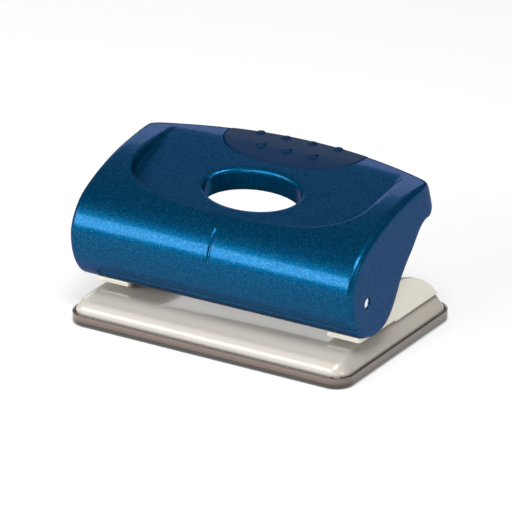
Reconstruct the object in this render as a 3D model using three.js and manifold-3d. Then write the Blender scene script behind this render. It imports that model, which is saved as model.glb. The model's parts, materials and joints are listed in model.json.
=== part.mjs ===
// Two-hole paper punch with a wide handle, for small stacks of paper.
//
// Millimetres. +Z is up, +X is to the right of someone who feeds paper in at the front, and +Y points
// to the rear. The origin is the bottom centre of the chip tray. Distances called SETBACK are measured
// rearwards from the front edge of the tray. The handle and what it carries are drawn about the pivot
// axis: U runs rearwards from the pivot and V upwards from it.

import * as THREE from 'three';
import { mergeVertices } from 'three/addons/utils/BufferGeometryUtils.js';
import Module from 'manifold-3d';

const wasm = await Module();
wasm.setup();

// ---- Clearances ---------------------------------------------------------------------------------
const GAP = 0.3; // between two pieces that rest on or are fixed in each other
const RUNNING = 0.1; // round a shaft that turns or slides in its hole

// ---- Punching ---------------------------------------------------------------------------------
const HOLE_SPACING = 80; // the filing standard's distance between the two punched holes
const PIN_RADIUS = 2.75;
const PAPER_SLOT = 0.9; // height of the slot that the paper slides into
const PAPER_MARGIN = 12; // from the paper's edge to the middle of the holes

// ---- Brackets, folded from sheet into a U -------------------------------------------------------
const BRACKET_SHEET = 1.5;
const BRACKET_FRONT_SETBACK = 13.8;
const TONGUE_LENGTH = 1.7; // how far the web stands out in front of the ears
const TONGUE_CHAMFER = 0.6;
const EAR_PEAK_RISE = 13; // above the base plate
const EAR_PEAK_SETBACK = 31.5;
const EAR_LOBE_RADIUS = 4.8;
const PAPER_STOP_SETBACK = 34.5;

// ---- Pivot and pressure bar ---------------------------------------------------------------------
const PIVOT_SETBACK = 12.75;
const PIVOT_RISE = 14.7; // above the base plate
const ROD_RADIUS = 1.5;
const BAR_RADIUS = 2;
const BAR_RISE = 4.5; // the bar's axis above the pivot axis

// ---- Base plate, pressed from sheet -------------------------------------------------------------
const BASE_SHEET = 1.2;
const BASE_TOP = 9;
const BASE_SIDE_SLOPE = 3; // how far each side leans in between the rim and the top
const BASE_REAR_SLOPE = 4;
const BASE_EDGE_RADIUS = 1.2;
const NOSE_STEP = 1.7; // how much lower than the top the rounded front edge is
const NOSE_RADIUS = 3.2;
const RAMP_LENGTH = 13;

// ---- Chip tray -----------------------------------------------------------------------------------
const TRAY_DEPTH = 66;
const TRAY_HEIGHT = 4;
const TRAY_WALL = 0.8;
const TRAY_FLOOR = 1.2;
const TRAY_CORNER = 6;
const TRAY_CHAMFER = 0.8;

// ---- Handle --------------------------------------------------------------------------------------
const HANDLE_REACH = 39.8; // from the pivot back to the rear lip, at the sides
const HANDLE_RISE = 25.8; // from the pivot up to the top
const HANDLE_DROP = 12; // from the pivot down to the lower edge
const HANDLE_WALL = 2.2;
const HANDLE_SIDE_ROOM = 0.8; // between a bracket and the side wall of the handle
const HANDLE_OVERHANG = 0.3; // how far each side of the handle stands out past the tray
const HANDLE_EDGE = 1.5; // rounding between the side walls and the rest
const HANDLE_BOW = 9.2; // how much further the rear edge reaches at the middle
const HANDLE_CROWN = 1; // how much higher the rear edge is at the middle
const REAR_CORNER = 5; // rounding between the side walls and the rear lip, in plan
const RIB_THICKNESS = 2;
const RIB_ROOM = 2; // between a rib and the bracket beside it

const RECESS_DEPTH = 3.1; // at the finger hole
const RECESS_SLOPE = 0.29;
const RECESS_MARGIN = 8.4; // from the side of the handle to the recess
const RECESS_LENGTH = 18.6; // of its rounded front part
const RECESS_U = 19.25; // where the rounded front part meets the straight sides
const FINGER_HOLE_WIDTH = 32;
const FINGER_HOLE_LENGTH = 18.2;
const FINGER_HOLE_U = 15.7;
const COLLAR_DEPTH = 7;

const MARK_WIDTH = 0.8; // centre mark on the front
const MARK_DEPTH = 0.35;
const MARK_LOW = 4.8;
const MARK_HIGH = 13.8;

const PAD_HALF_WIDTH = 23.8;
const PAD_LENGTH = 12.7;
const PAD_STRAIGHT = 7.7; // from the rear edge to where the pad's front starts to round
const PAD_WRAP = 6; // how far it runs down the rear lip
const PAD_PROUD = 0.3;
const PAD_SUNK = 0.8;
const BUMP_PITCH = 9.05;
const BUMP_ROW_PITCH = 6.9;
const BUMP_RADIUS = 1.6;
const BUMP_HEIGHT = 0.7;
const BUMP_MARGIN = 6.3; // from the rear edge to the rear row

// ---- Small parts ---------------------------------------------------------------------------------
const CLIP_THICKNESS = 0.8;
const CLIP_RIM = 1.7;
const GROOVE_DEPTH = 0.7;
const WASHER_THICKNESS = 0.6;
const BUSH_HEIGHT = 1.8; // of the guide bush above the bracket
const BUSH_WALL = 0.65;
const DIE_WALL = 0.65;
const DIE_HEIGHT = 2.7;
const DIE_SUNK = 0.05; // below the top of the base, so that paper slides over it
const SPRING_WIRE = 0.8;
const SPRING_ROOM = 0.4; // between the pin and the coils round it
const SPRING_TURNS = 5;
const RIVET_RADIUS = 1.4;
const RIVET_HEAD_RADIUS = 2.6;
const RIVET_HEAD_HEIGHT = 1.1;
const RIVET_SETBACKS = [42, 52];

// ---- Sizes that follow from those above -----------------------------------------------------------
const COIL_RADIUS = PIN_RADIUS + SPRING_ROOM + SPRING_WIRE / 2;
const COLLAR_RADIUS = COIL_RADIUS + SPRING_WIRE / 2 + 0.05; // of what the spring presses on
const BRACKET_WIDTH = 2 * (COLLAR_RADIUS + GAP + BRACKET_SHEET);
const HANDLE_WIDTH = HOLE_SPACING + BRACKET_WIDTH + 2 * (HANDLE_SIDE_ROOM + HANDLE_WALL);
const HALF_HANDLE = HANDLE_WIDTH / 2;
const SIDE_WALL_INSIDE = HALF_HANDLE - HANDLE_WALL;
const TRAY_WIDTH = HANDLE_WIDTH - 2 * HANDLE_OVERHANG;
const FRONT = -TRAY_DEPTH / 2;
const FOOT_X = TRAY_WIDTH / 2 - TRAY_WALL - GAP;
const FOOT_Y = TRAY_DEPTH / 2 - TRAY_WALL - GAP;
const FOOT_Z = TRAY_FLOOR + GAP;
const BASE_UNDERSIDE = BASE_TOP - BASE_SHEET;
const BASE_FLAT_REAR = FOOT_Y - BASE_REAR_SLOPE;
const NOSE_HEIGHT = BASE_TOP - NOSE_STEP;

const PIVOT_Y = FRONT + PIVOT_SETBACK;
const PIVOT_HEIGHT = BASE_TOP + PIVOT_RISE;
const EAR_PEAK_HEIGHT = BASE_TOP + EAR_PEAK_RISE;
const PAPER_STOP_Y = FRONT + PAPER_STOP_SETBACK;
const PIN_Y = PAPER_STOP_Y - PAPER_MARGIN;
const BAR_U = PIN_Y - PIVOT_Y;
const BRACKET_FRONT_Y = FRONT + BRACKET_FRONT_SETBACK;
const BRACKET_REAR_Y = BASE_FLAT_REAR - 1;
const WEB_LOW = BASE_TOP + GAP;
const WEB_RAISED = BASE_TOP + PAPER_SLOT;
const WEB_TOP = WEB_RAISED + BRACKET_SHEET;
const RIB_X = (HOLE_SPACING - BRACKET_WIDTH) / 2 - RIB_ROOM - RIB_THICKNESS / 2;

const PIN_TOP = PIVOT_HEIGHT + BAR_RISE - BAR_RADIUS - GAP;
const PIN_TIP = WEB_RAISED + 1;
const CLIP_TOP = PIN_TOP - 1.2;
const WASHER_TOP = CLIP_TOP - CLIP_THICKNESS - GAP;
const SPRING_TOP = WASHER_TOP - WASHER_THICKNESS - GAP;
const BUSH_BOTTOM = WEB_RAISED + GAP;
const BUSH_TOP = WEB_TOP + GAP + BUSH_HEIGHT;
const SPRING_BOTTOM = BUSH_TOP + GAP;
const BUSH_RADIUS = PIN_RADIUS + RUNNING + BUSH_WALL;
const DIE_RADIUS = PIN_RADIUS + RUNNING + DIE_WALL;

// ---- Finishes ------------------------------------------------------------------------------------
const finish = (color, roughness, metalness) => new THREE.MeshStandardMaterial({ color, roughness, metalness });
const BLUE_PAINT = finish(0x0a4a86, 0.28, 0.35);
const BLUE_RUBBER = finish(0x08386b, 0.5, 0.1);
const GREY_ENAMEL = finish(0xbcbab3, 0.25, 0.1);
const ZINC_PLATE = finish(0xd8d4c6, 0.35, 0.6);
const SMOKED_PLASTIC = finish(0x6d5a4e, 0.2, 0);
const BRIGHT_STEEL = finish(0xe2e4e6, 0.2, 1);
const SPRING_STEEL = finish(0x9a9da1, 0.3, 1);

// ---- Solids --------------------------------------------------------------------------------------
function solid(geometry) {
  const bare = geometry.clone();
  bare.deleteAttribute('normal');
  bare.deleteAttribute('uv');
  const merged = mergeVertices(bare, 1e-4);
  return new wasm.Manifold(new wasm.Mesh({
    numProp: 3,
    vertProperties: new Float32Array(merged.attributes.position.array),
    triVerts: new Uint32Array(merged.index.array),
  }));
}

function geometryOf(body) {
  const mesh = body.getMesh();
  const geometry = new THREE.BufferGeometry();
  geometry.setAttribute('position', new THREE.BufferAttribute(mesh.vertProperties, 3));
  geometry.setIndex(new THREE.BufferAttribute(mesh.triVerts, 1));
  geometry.computeVertexNormals();
  return geometry;
}

// Moves every vertex of a geometry to where place(point) puts it.
function reshape(geometry, place) {
  const position = geometry.attributes.position;
  const point = new THREE.Vector3();
  for (let i = 0; i < position.count; i += 1) {
    point.fromBufferAttribute(position, i);
    place(point);
    position.setXYZ(i, point.x, point.y, point.z);
  }
  return geometry;
}

// A shape drawn in Y and Z, extruded along X.
function sidePrism(shape, fromX, toX, options = {}) {
  const geometry = new THREE.ExtrudeGeometry(shape, {
    depth: toX - fromX, bevelEnabled: false, curveSegments: 8, ...options,
  });
  geometry.applyMatrix4(new THREE.Matrix4().makeBasis(
    new THREE.Vector3(0, 1, 0), new THREE.Vector3(0, 0, 1), new THREE.Vector3(1, 0, 0),
  ));
  return geometry.translate(fromX, 0, 0);
}

// A shape drawn in X and Y, extruded along Z.
function planPrism(shape, fromZ, toZ, curveSegments = 12) {
  const geometry = new THREE.ExtrudeGeometry(shape, { depth: toZ - fromZ, bevelEnabled: false, curveSegments });
  return geometry.translate(0, 0, fromZ);
}

function box(x0, x1, y0, y1, z0, z1) {
  const geometry = new THREE.BoxGeometry(x1 - x0, y1 - y0, z1 - z0);
  return solid(geometry.translate((x0 + x1) / 2, (y0 + y1) / 2, (z0 + z1) / 2));
}

// A round body: its profile is a list of [radius, height] that starts and ends on the axis.
function turned(profile, segments = 24) {
  const points = profile.map(([radius, height]) => new THREE.Vector2(radius, height));
  return new THREE.LatheGeometry(points, segments).rotateX(Math.PI / 2);
}

// A ring with a square section.
function ring(inner, outer, low, high, segments = 24) {
  const corners = [[inner, low], [outer, low], [outer, high], [inner, high], [inner, low]];
  return turned(corners, segments);
}

function upright(radius, low, high, x, y, segments = 24) {
  const body = turned([[0, low], [radius, low], [radius, high], [0, high]], segments);
  return solid(body.translate(x, y, 0));
}

function crosswise(radius, fromX, toX, y, z, segments = 24) {
  const body = turned([[0, fromX], [radius, fromX], [radius, toX], [0, toX]], segments);
  return solid(body.rotateY(Math.PI / 2).translate(0, y, z));
}

function roundedRectangle(halfWidth, halfDepth, radius) {
  const shape = new THREE.Shape();
  shape.absarc(halfWidth - radius, halfDepth - radius, radius, 0, Math.PI / 2);
  shape.absarc(radius - halfWidth, halfDepth - radius, radius, Math.PI / 2, Math.PI);
  shape.absarc(radius - halfWidth, radius - halfDepth, radius, Math.PI, 1.5 * Math.PI);
  shape.absarc(halfWidth - radius, radius - halfDepth, radius, 1.5 * Math.PI, 2 * Math.PI);
  return shape;
}

// An outline that is straight at its sides and rounded at its front, like half a superellipse.
function arch(halfWidth, length, middleY, rearY, exponent, segments = 36) {
  const points = [new THREE.Vector2(-halfWidth, rearY)];
  for (let i = 0; i <= segments; i += 1) {
    const angle = Math.PI * (i / segments);
    const across = Math.sign(Math.cos(angle)) * Math.abs(Math.cos(angle)) ** (2 / exponent);
    const along = Math.sin(angle) ** (2 / exponent);
    points.push(new THREE.Vector2(-halfWidth * across, middleY - length * along));
  }
  points.push(new THREE.Vector2(halfWidth, rearY));
  return new THREE.Shape(points);
}

// A C-shaped clip that snaps into a groove; its mouth points along +Y.
function snapClip(grooveRadius, outer, low, high) {
  const mouth = grooveRadius * 0.8;
  return solid(ring(grooveRadius + GAP, outer, low, high, 28))
    .subtract(box(-mouth, mouth, 0, outer * 2, low - 1, high + 1));
}

// ---- The object ----------------------------------------------------------------------------------
const punch = new THREE.Group();
const base = new THREE.Group();
const handle = new THREE.Group();
handle.position.set(0, PIVOT_Y, PIVOT_HEIGHT);
punch.add(base, handle);

function addPiece(parent, name, body, material) {
  const geometry = body instanceof THREE.BufferGeometry ? body : geometryOf(body);
  const mesh = new THREE.Mesh(geometry, material);
  mesh.name = name;
  parent.add(mesh);
  return mesh;
}

// ---- Chip tray: a shallow tray that the base stands in, and that catches the chips -----------------
function chipTray() {
  const outline = roundedRectangle(TRAY_WIDTH / 2, TRAY_DEPTH / 2, TRAY_CORNER);
  const outer = new THREE.ExtrudeGeometry(outline, {
    depth: TRAY_HEIGHT,
    bevelThickness: TRAY_CHAMFER,
    bevelSize: TRAY_CHAMFER,
    bevelOffset: -TRAY_CHAMFER,
    bevelSegments: 1,
    curveSegments: 8,
  }).translate(0, 0, TRAY_CHAMFER);
  const inside = roundedRectangle(
    TRAY_WIDTH / 2 - TRAY_WALL, TRAY_DEPTH / 2 - TRAY_WALL, TRAY_CORNER - TRAY_WALL,
  );
  return solid(outer)
    .intersect(box(-TRAY_WIDTH, TRAY_WIDTH, -TRAY_DEPTH, TRAY_DEPTH, 0, TRAY_HEIGHT))
    .subtract(solid(planPrism(inside, TRAY_FLOOR, TRAY_HEIGHT + 1, 8)));
}

// ---- Base plate: one pressed sheet with a rounded nose, a short ramp and a flat top ------------------
// The pressed form, shrunk by inset on every side; below the foot it is cut off at floorZ.
function pressedForm(inset, floorZ) {
  const side = new THREE.Shape();
  const nose = NOSE_RADIUS - inset;
  side.moveTo(-FOOT_Y + inset, floorZ);
  side.absarc(-FOOT_Y + NOSE_RADIUS, NOSE_HEIGHT - NOSE_RADIUS, nose, Math.PI, Math.PI / 2, true);
  side.quadraticCurveTo(
    -FOOT_Y + NOSE_RADIUS + RAMP_LENGTH / 2, BASE_TOP - inset, -FOOT_Y + RAMP_LENGTH, BASE_TOP - inset,
  );
  const rearEdge = BASE_FLAT_REAR - inset;
  side.lineTo(rearEdge - BASE_EDGE_RADIUS, BASE_TOP - inset);
  side.quadraticCurveTo(rearEdge, BASE_TOP - inset, rearEdge + 0.5, BASE_TOP - inset - BASE_EDGE_RADIUS);
  side.lineTo(FOOT_Y - inset, TRAY_HEIGHT);
  side.lineTo(FOOT_Y - inset, floorZ);

  const end = new THREE.Shape();
  const shoulder = FOOT_X - BASE_SIDE_SLOPE - inset;
  end.moveTo(FOOT_X - inset, floorZ);
  end.lineTo(FOOT_X - inset, TRAY_HEIGHT);
  end.lineTo(shoulder + 0.4, BASE_TOP - inset - BASE_EDGE_RADIUS);
  end.quadraticCurveTo(shoulder, BASE_TOP - inset, shoulder - BASE_EDGE_RADIUS, BASE_TOP - inset);
  end.lineTo(-shoulder + BASE_EDGE_RADIUS, BASE_TOP - inset);
  end.quadraticCurveTo(-shoulder, BASE_TOP - inset, -shoulder - 0.4, BASE_TOP - inset - BASE_EDGE_RADIUS);
  end.lineTo(-FOOT_X + inset, TRAY_HEIGHT);
  end.lineTo(-FOOT_X + inset, floorZ);

  const lengthwise = planPrism(end, -TRAY_DEPTH, TRAY_DEPTH, 4).rotateX(Math.PI / 2);
  const corner = TRAY_CORNER - TRAY_WALL - GAP - inset;
  return solid(sidePrism(side, -TRAY_WIDTH, TRAY_WIDTH, { curveSegments: 6 }))
    .intersect(solid(lengthwise))
    .intersect(solid(planPrism(
      roundedRectangle(FOOT_X - inset, FOOT_Y - inset, corner), floorZ - 1, BASE_TOP + 1, 8,
    )));
}

function basePlate() {
  let plate = pressedForm(0, FOOT_Z).subtract(pressedForm(BASE_SHEET, FOOT_Z - 1));
  for (const x of [-HOLE_SPACING / 2, HOLE_SPACING / 2]) {
    plate = plate.subtract(upright(DIE_RADIUS + GAP, FOOT_Z, BASE_TOP + 1, x, PIN_Y));
    for (const setback of RIVET_SETBACKS) {
      plate = plate.subtract(upright(RIVET_RADIUS + GAP, FOOT_Z, BASE_TOP + 1, x, FRONT + setback, 16));
    }
  }
  return plate;
}

// ---- Bracket: ears that carry the pivot rod, and a web that guides the pin over the paper slot -------
function bracket() {
  const earFrontY = BRACKET_FRONT_Y + TONGUE_LENGTH;
  const rise = EAR_PEAK_HEIGHT - WEB_LOW;
  const peakY = FRONT + EAR_PEAK_SETBACK;
  const run = BRACKET_REAR_Y - peakY;
  const arcRadius = (run * run + rise * rise) / (2 * rise);
  const arcCentreZ = EAR_PEAK_HEIGHT - arcRadius;
  const rearAngle = Math.atan2(WEB_LOW - arcCentreZ, run);
  const frontAngle = Math.acos((PIVOT_Y + EAR_LOBE_RADIUS * 1.35 - peakY) / arcRadius);

  const ear = new THREE.Shape();
  ear.moveTo(BRACKET_FRONT_Y, WEB_RAISED);
  ear.lineTo(PAPER_STOP_Y, WEB_RAISED);
  ear.lineTo(PAPER_STOP_Y, WEB_LOW);
  ear.lineTo(BRACKET_REAR_Y, WEB_LOW);
  ear.absarc(peakY, arcCentreZ, arcRadius, rearAngle, frontAngle, false);
  ear.absarc(PIVOT_Y, PIVOT_HEIGHT, EAR_LOBE_RADIUS, -0.36, Math.PI * 1.23, false);
  ear.lineTo(earFrontY - 2.9, PIVOT_HEIGHT - 6.2);
  ear.lineTo(earFrontY, PIVOT_HEIGHT - 8.9);
  ear.lineTo(earFrontY, WEB_TOP);
  ear.lineTo(BRACKET_FRONT_Y, WEB_TOP);

  const lowWebTop = WEB_LOW + BRACKET_SHEET;
  const stepY = PAPER_STOP_Y + BRACKET_SHEET;
  const far = 60;
  const channel = new THREE.Shape();
  channel.moveTo(-far, WEB_TOP);
  channel.lineTo(stepY, WEB_TOP);
  channel.lineTo(stepY, lowWebTop);
  channel.lineTo(far, lowWebTop);
  channel.lineTo(far, far);
  channel.lineTo(-far, far);

  const half = BRACKET_WIDTH / 2;
  const inner = half - BRACKET_SHEET;
  let body = solid(sidePrism(ear, -half, half, { curveSegments: 14 }))
    .subtract(solid(sidePrism(channel, -inner, inner)))
    .subtract(crosswise(ROD_RADIUS + RUNNING, -half - 1, half + 1, PIVOT_Y, PIVOT_HEIGHT))
    .subtract(upright(BUSH_RADIUS + GAP, WEB_RAISED - 1, WEB_TOP + 1, 0, PIN_Y));
  for (const setback of RIVET_SETBACKS) {
    body = body.subtract(upright(RIVET_RADIUS + GAP, WEB_LOW - 1, lowWebTop + 1, 0, FRONT + setback, 16));
  }
  for (const side of [-1, 1]) {
    const corner = new THREE.Shape([
      new THREE.Vector2(side * half, BRACKET_FRONT_Y + TONGUE_CHAMFER),
      new THREE.Vector2(side * (half - TONGUE_CHAMFER), BRACKET_FRONT_Y),
      new THREE.Vector2(side * (half + 1), BRACKET_FRONT_Y - 1),
    ]);
    body = body.subtract(solid(planPrism(corner, WEB_RAISED - 1, WEB_TOP + 1)));
  }
  return body;
}

// ---- Pieces of one punching station, drawn on the pin's own axis -------------------------------------
function punchPin() {
  const groove = PIN_RADIUS - GROOVE_DEPTH;
  const grooveLow = CLIP_TOP - CLIP_THICKNESS - GAP;
  const grooveHigh = CLIP_TOP + GAP;
  const chamfer = 0.4;
  const pin = solid(turned([
    [0, PIN_TIP], [PIN_RADIUS, PIN_TIP], [PIN_RADIUS, grooveLow], [groove, grooveLow], [groove, grooveHigh],
    [PIN_RADIUS, grooveHigh], [PIN_RADIUS, PIN_TOP - chamfer], [PIN_RADIUS - chamfer, PIN_TOP], [0, PIN_TOP],
  ]));
  // A shallow V across the tip makes the pin shear the paper little by little.
  const notch = new THREE.Shape([
    new THREE.Vector2(-PIN_RADIUS - 1, PIN_TIP - 1),
    new THREE.Vector2(PIN_RADIUS + 1, PIN_TIP - 1),
    new THREE.Vector2(0, PIN_TIP + 1.2),
  ]);
  return pin.subtract(solid(sidePrism(notch, -PIN_RADIUS - 1, PIN_RADIUS + 1)));
}

function guideBush() {
  const bore = PIN_RADIUS + RUNNING;
  const flangeLow = WEB_TOP + GAP;
  return turned([
    [bore, BUSH_BOTTOM], [BUSH_RADIUS, BUSH_BOTTOM], [BUSH_RADIUS, flangeLow], [COLLAR_RADIUS, flangeLow],
    [COLLAR_RADIUS, BUSH_TOP], [bore, BUSH_TOP], [bore, BUSH_BOTTOM],
  ]);
}

function dieBush() {
  const top = BASE_TOP - DIE_SUNK;
  return ring(PIN_RADIUS + RUNNING, DIE_RADIUS, top - DIE_HEIGHT, top);
}

class Helix extends THREE.Curve {
  constructor(radius, turns, low, high) {
    super();
    Object.assign(this, { radius, turns, low, high });
  }

  getPoint(t, target = new THREE.Vector3()) {
    const angle = 2 * Math.PI * this.turns * t;
    return target.set(
      this.radius * Math.cos(angle), this.radius * Math.sin(angle), this.low + (this.high - this.low) * t,
    );
  }
}

function returnSpring() {
  const wire = SPRING_WIRE / 2;
  const section = new THREE.Shape().absarc(0, 0, wire, 0, 2 * Math.PI);
  const path = new Helix(COIL_RADIUS, SPRING_TURNS, SPRING_BOTTOM + wire, SPRING_TOP - wire);
  return solid(new THREE.ExtrudeGeometry(section, {
    steps: 16 * SPRING_TURNS, curveSegments: 3, extrudePath: path, bevelEnabled: false,
  }));
}

function rivet() {
  const headLow = WEB_LOW + BRACKET_SHEET + GAP;
  const tailHigh = BASE_UNDERSIDE - GAP;
  const tailRadius = RIVET_RADIUS + 0.8;
  const profile = [
    [0, tailHigh - 0.8], [tailRadius - 0.3, tailHigh - 0.8], [tailRadius, tailHigh - 0.4],
    [tailRadius, tailHigh], [RIVET_RADIUS, tailHigh], [RIVET_RADIUS, headLow],
  ];
  const domeSteps = 5;
  for (let i = 0; i <= domeSteps; i += 1) {
    const angle = (Math.PI / 2) * (i / domeSteps);
    const radius = i === domeSteps ? 0 : RIVET_HEAD_RADIUS * Math.cos(angle);
    profile.push([radius, headLow + RIVET_HEAD_HEIGHT * Math.sin(angle)]);
  }
  return turned(profile, 18);
}

// ---- Handle: a moulded shell, open below and behind, that hangs on the pivot rod ---------------------
// The handle's side outline, from the lower end of the front wall, over the top, down the rear lip and
// back along the edge of the side wall. Its points are shares of the reach, the rise and the drop.
function handleOutline() {
  const u = (share) => share * HANDLE_REACH;
  const v = (share) => share * (share < 0 ? HANDLE_DROP : HANDLE_RISE);
  const path = new THREE.Path();
  path.moveTo(u(0.03), v(-0.95));
  path.bezierCurveTo(u(-0.135), v(-0.9), u(-0.243), v(-0.36), u(-0.239), v(0.165));
  path.bezierCurveTo(u(-0.236), v(0.3), u(-0.177), v(0.455), u(-0.105), v(0.56));
  path.bezierCurveTo(u(-0.03), v(0.67), u(0.17), v(0.807), u(0.37), v(0.896));
  path.bezierCurveTo(u(0.52), v(0.96), u(0.71), v(0.996), u(0.86), v(1));
  path.bezierCurveTo(u(0.91), v(1.005), u(0.93), v(0.955), u(0.951), v(0.872));
  path.lineTo(u(0.992), v(0.68));
  const wall = path.getPoints(6);
  path.quadraticCurveTo(u(1.003), v(0.585), u(0.95), v(0.555));
  path.bezierCurveTo(u(0.785), v(0.461), u(0.6), v(0.225), u(0.496), v(-0.015));
  path.bezierCurveTo(u(0.413), v(-0.46), u(0.343), v(-1.005), u(0.145), v(-1));
  path.quadraticCurveTo(u(0.08), v(-1), u(0.03), v(-0.95));
  return { wall, whole: path.getPoints(6).slice(0, -1) };
}

const OUTLINE = handleOutline();

// The same points, moved by a distance to the right of the way that they run.
function offsetPoints(points, distance) {
  return points.map((point, i) => {
    const before = points[Math.max(i - 1, 0)];
    const after = points[Math.min(i + 1, points.length - 1)];
    const way = after.clone().sub(before).normalize();
    return new THREE.Vector2(point.x + way.y * distance, point.y - way.x * distance);
  });
}

// How far forward the rounded corner lies from where the bowed rear edge would meet the side.
function cornerCut(fromSide) {
  const slope = (2 * HANDLE_BOW) / HALF_HANDLE;
  const steepness = Math.hypot(1, slope);
  if (fromSide > REAR_CORNER * (1 - slope / steepness)) return 0;
  const arc = Math.sqrt(REAR_CORNER ** 2 - (REAR_CORNER - fromSide) ** 2);
  return slope * fromSide + REAR_CORNER * (steepness - slope) - arc;
}

// Bows the rear of the handle outwards and upwards towards its middle, and rounds its corners in plan.
function bowed(point) {
  const share = THREE.MathUtils.smoothstep(point.y, HANDLE_REACH * 0.43, HANDLE_REACH * 0.92);
  const rear = THREE.MathUtils.smoothstep(point.y, HANDLE_REACH * 0.78, HANDLE_REACH * 0.98);
  const middle = Math.max(1 - (point.x / HALF_HANDLE) ** 2, 0);
  const fromSide = Math.max(HALF_HANDLE - Math.abs(point.x), 0);
  point.y += HANDLE_BOW * middle * share - cornerCut(fromSide) * rear;
  point.z += HANDLE_CROWN * middle * share;
}

// The height of the handle's outer surface over the point x, u of its top.
function topHeight(x, u) {
  const top = OUTLINE.wall.map((corner) => {
    const point = new THREE.Vector3(x, corner.x, corner.y);
    bowed(point);
    return point;
  });
  for (let i = 1; i < top.length; i += 1) {
    const [a, b] = [top[i - 1], top[i]];
    if (a.y <= u && u <= b.y && b.z > 0) {
      return a.z + ((b.z - a.z) * (u - a.y)) / (b.y - a.y);
    }
  }
  throw new Error('no top surface there');
}

const BOW_STEPS = 12;
const FLOOR_V = topHeight(0, FINGER_HOLE_U) - RECESS_DEPTH;
const recessFloor = (u) => FLOOR_V + RECESS_SLOPE * (u - FINGER_HOLE_U);

// A plan shape extruded between two heights over the sloping floor of the recess.
function onFloor(shape, low, high) {
  return solid(reshape(planPrism(shape, low, high), (point) => {
    point.z += recessFloor(point.y);
  }));
}

function recessOutline(grow) {
  const halfWidth = HALF_HANDLE - RECESS_MARGIN + grow;
  return arch(halfWidth, RECESS_LENGTH + grow, RECESS_U, HANDLE_REACH * 2, 2.9);
}

function fingerHole(grow) {
  const shape = new THREE.Shape();
  shape.absellipse(
    0, FINGER_HOLE_U, FINGER_HOLE_WIDTH / 2 + grow, FINGER_HOLE_LENGTH / 2 + grow, 0, 2 * Math.PI,
  );
  return shape;
}

// The full, unhollowed handle with the recess sunk into its top.
function handleBlock() {
  const shape = new THREE.Shape(OUTLINE.whole);
  const block = reshape(sidePrism(shape, HANDLE_EDGE - HALF_HANDLE, HALF_HANDLE - HANDLE_EDGE, {
    steps: BOW_STEPS,
    bevelEnabled: true,
    bevelThickness: HANDLE_EDGE,
    bevelSize: HANDLE_EDGE,
    bevelOffset: -HANDLE_EDGE,
    bevelSegments: 2,
  }), bowed);
  return solid(block).subtract(onFloor(recessOutline(0), 0, HANDLE_RISE));
}

function handleCavity() {
  const inside = offsetPoints(OUTLINE.wall, HANDLE_WALL);
  const lipEnd = OUTLINE.wall[OUTLINE.wall.length - 1];
  const far = HANDLE_REACH * 2;
  const shape = new THREE.Shape([
    ...inside,
    new THREE.Vector2(lipEnd.x + HANDLE_WALL, lipEnd.y - 1),
    new THREE.Vector2(far, lipEnd.y - far),
    new THREE.Vector2(inside[0].x, -far),
  ]);
  return solid(reshape(
    sidePrism(shape, -SIDE_WALL_INSIDE, SIDE_WALL_INSIDE, { steps: BOW_STEPS }), bowed,
  ));
}

// A rib hangs from the top and the front wall, and carries the rod and the pressure bar.
function rib(x) {
  const shape = new THREE.Shape([
    new THREE.Vector2(-HANDLE_REACH, -3.4),
    new THREE.Vector2(0, -3.4),
    new THREE.Vector2(BAR_U + 3.2, BAR_RISE - 3.4),
    new THREE.Vector2(BAR_U + 4.4, BAR_RISE),
    new THREE.Vector2(BAR_U + 5.2, HANDLE_RISE),
    new THREE.Vector2(-HANDLE_REACH, HANDLE_RISE),
  ]);
  return solid(sidePrism(shape, x - RIB_THICKNESS / 2, x + RIB_THICKNESS / 2));
}

function padZone(grow) {
  const rearEdge = HANDLE_REACH + HANDLE_BOW;
  const crest = topHeight(0, HANDLE_REACH * 0.86 + HANDLE_BOW);
  const middle = rearEdge - PAD_STRAIGHT;
  const outline = arch(PAD_HALF_WIDTH + grow, PAD_LENGTH + grow, middle, HANDLE_REACH * 2, 2.4, 28);
  return solid(planPrism(outline, crest - PAD_WRAP - grow, crest + HANDLE_RISE));
}

const along = (body, distance) => body.translate([0, distance, distance]);

function handleShell(block) {
  const floorSlab = onFloor(recessOutline(HANDLE_WALL), -HANDLE_WALL, 0)
    .intersect(box(-HALF_HANDLE, HALF_HANDLE, 0, HANDLE_REACH + HANDLE_BOW - 4, 0, HANDLE_RISE * 2));
  const collar = onFloor(fingerHole(HANDLE_WALL), -COLLAR_DEPTH, 0);
  const inner = floorSlab.add(collar).add(rib(-RIB_X)).add(rib(RIB_X)).intersect(block);
  const pocket = padZone(GAP).subtract(along(block, -PAD_SUNK - GAP));
  const mark = box(-MARK_WIDTH / 2, MARK_WIDTH / 2, -HANDLE_REACH, 0, MARK_LOW, MARK_HIGH)
    .subtract(block.translate([0, MARK_DEPTH, -MARK_DEPTH / 2]));
  const barEnd = HALF_HANDLE - HANDLE_WALL / 2 + GAP;
  return block.subtract(handleCavity())
    .add(inner)
    .subtract(onFloor(fingerHole(0), -COLLAR_DEPTH - 9, HANDLE_RISE))
    .subtract(pocket)
    .subtract(mark)
    .subtract(crosswise(ROD_RADIUS + RUNNING, -HANDLE_WIDTH, HANDLE_WIDTH, 0, 0))
    .subtract(crosswise(BAR_RADIUS + GAP, -barEnd, barEnd, BAR_U, BAR_RISE));
}

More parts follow.
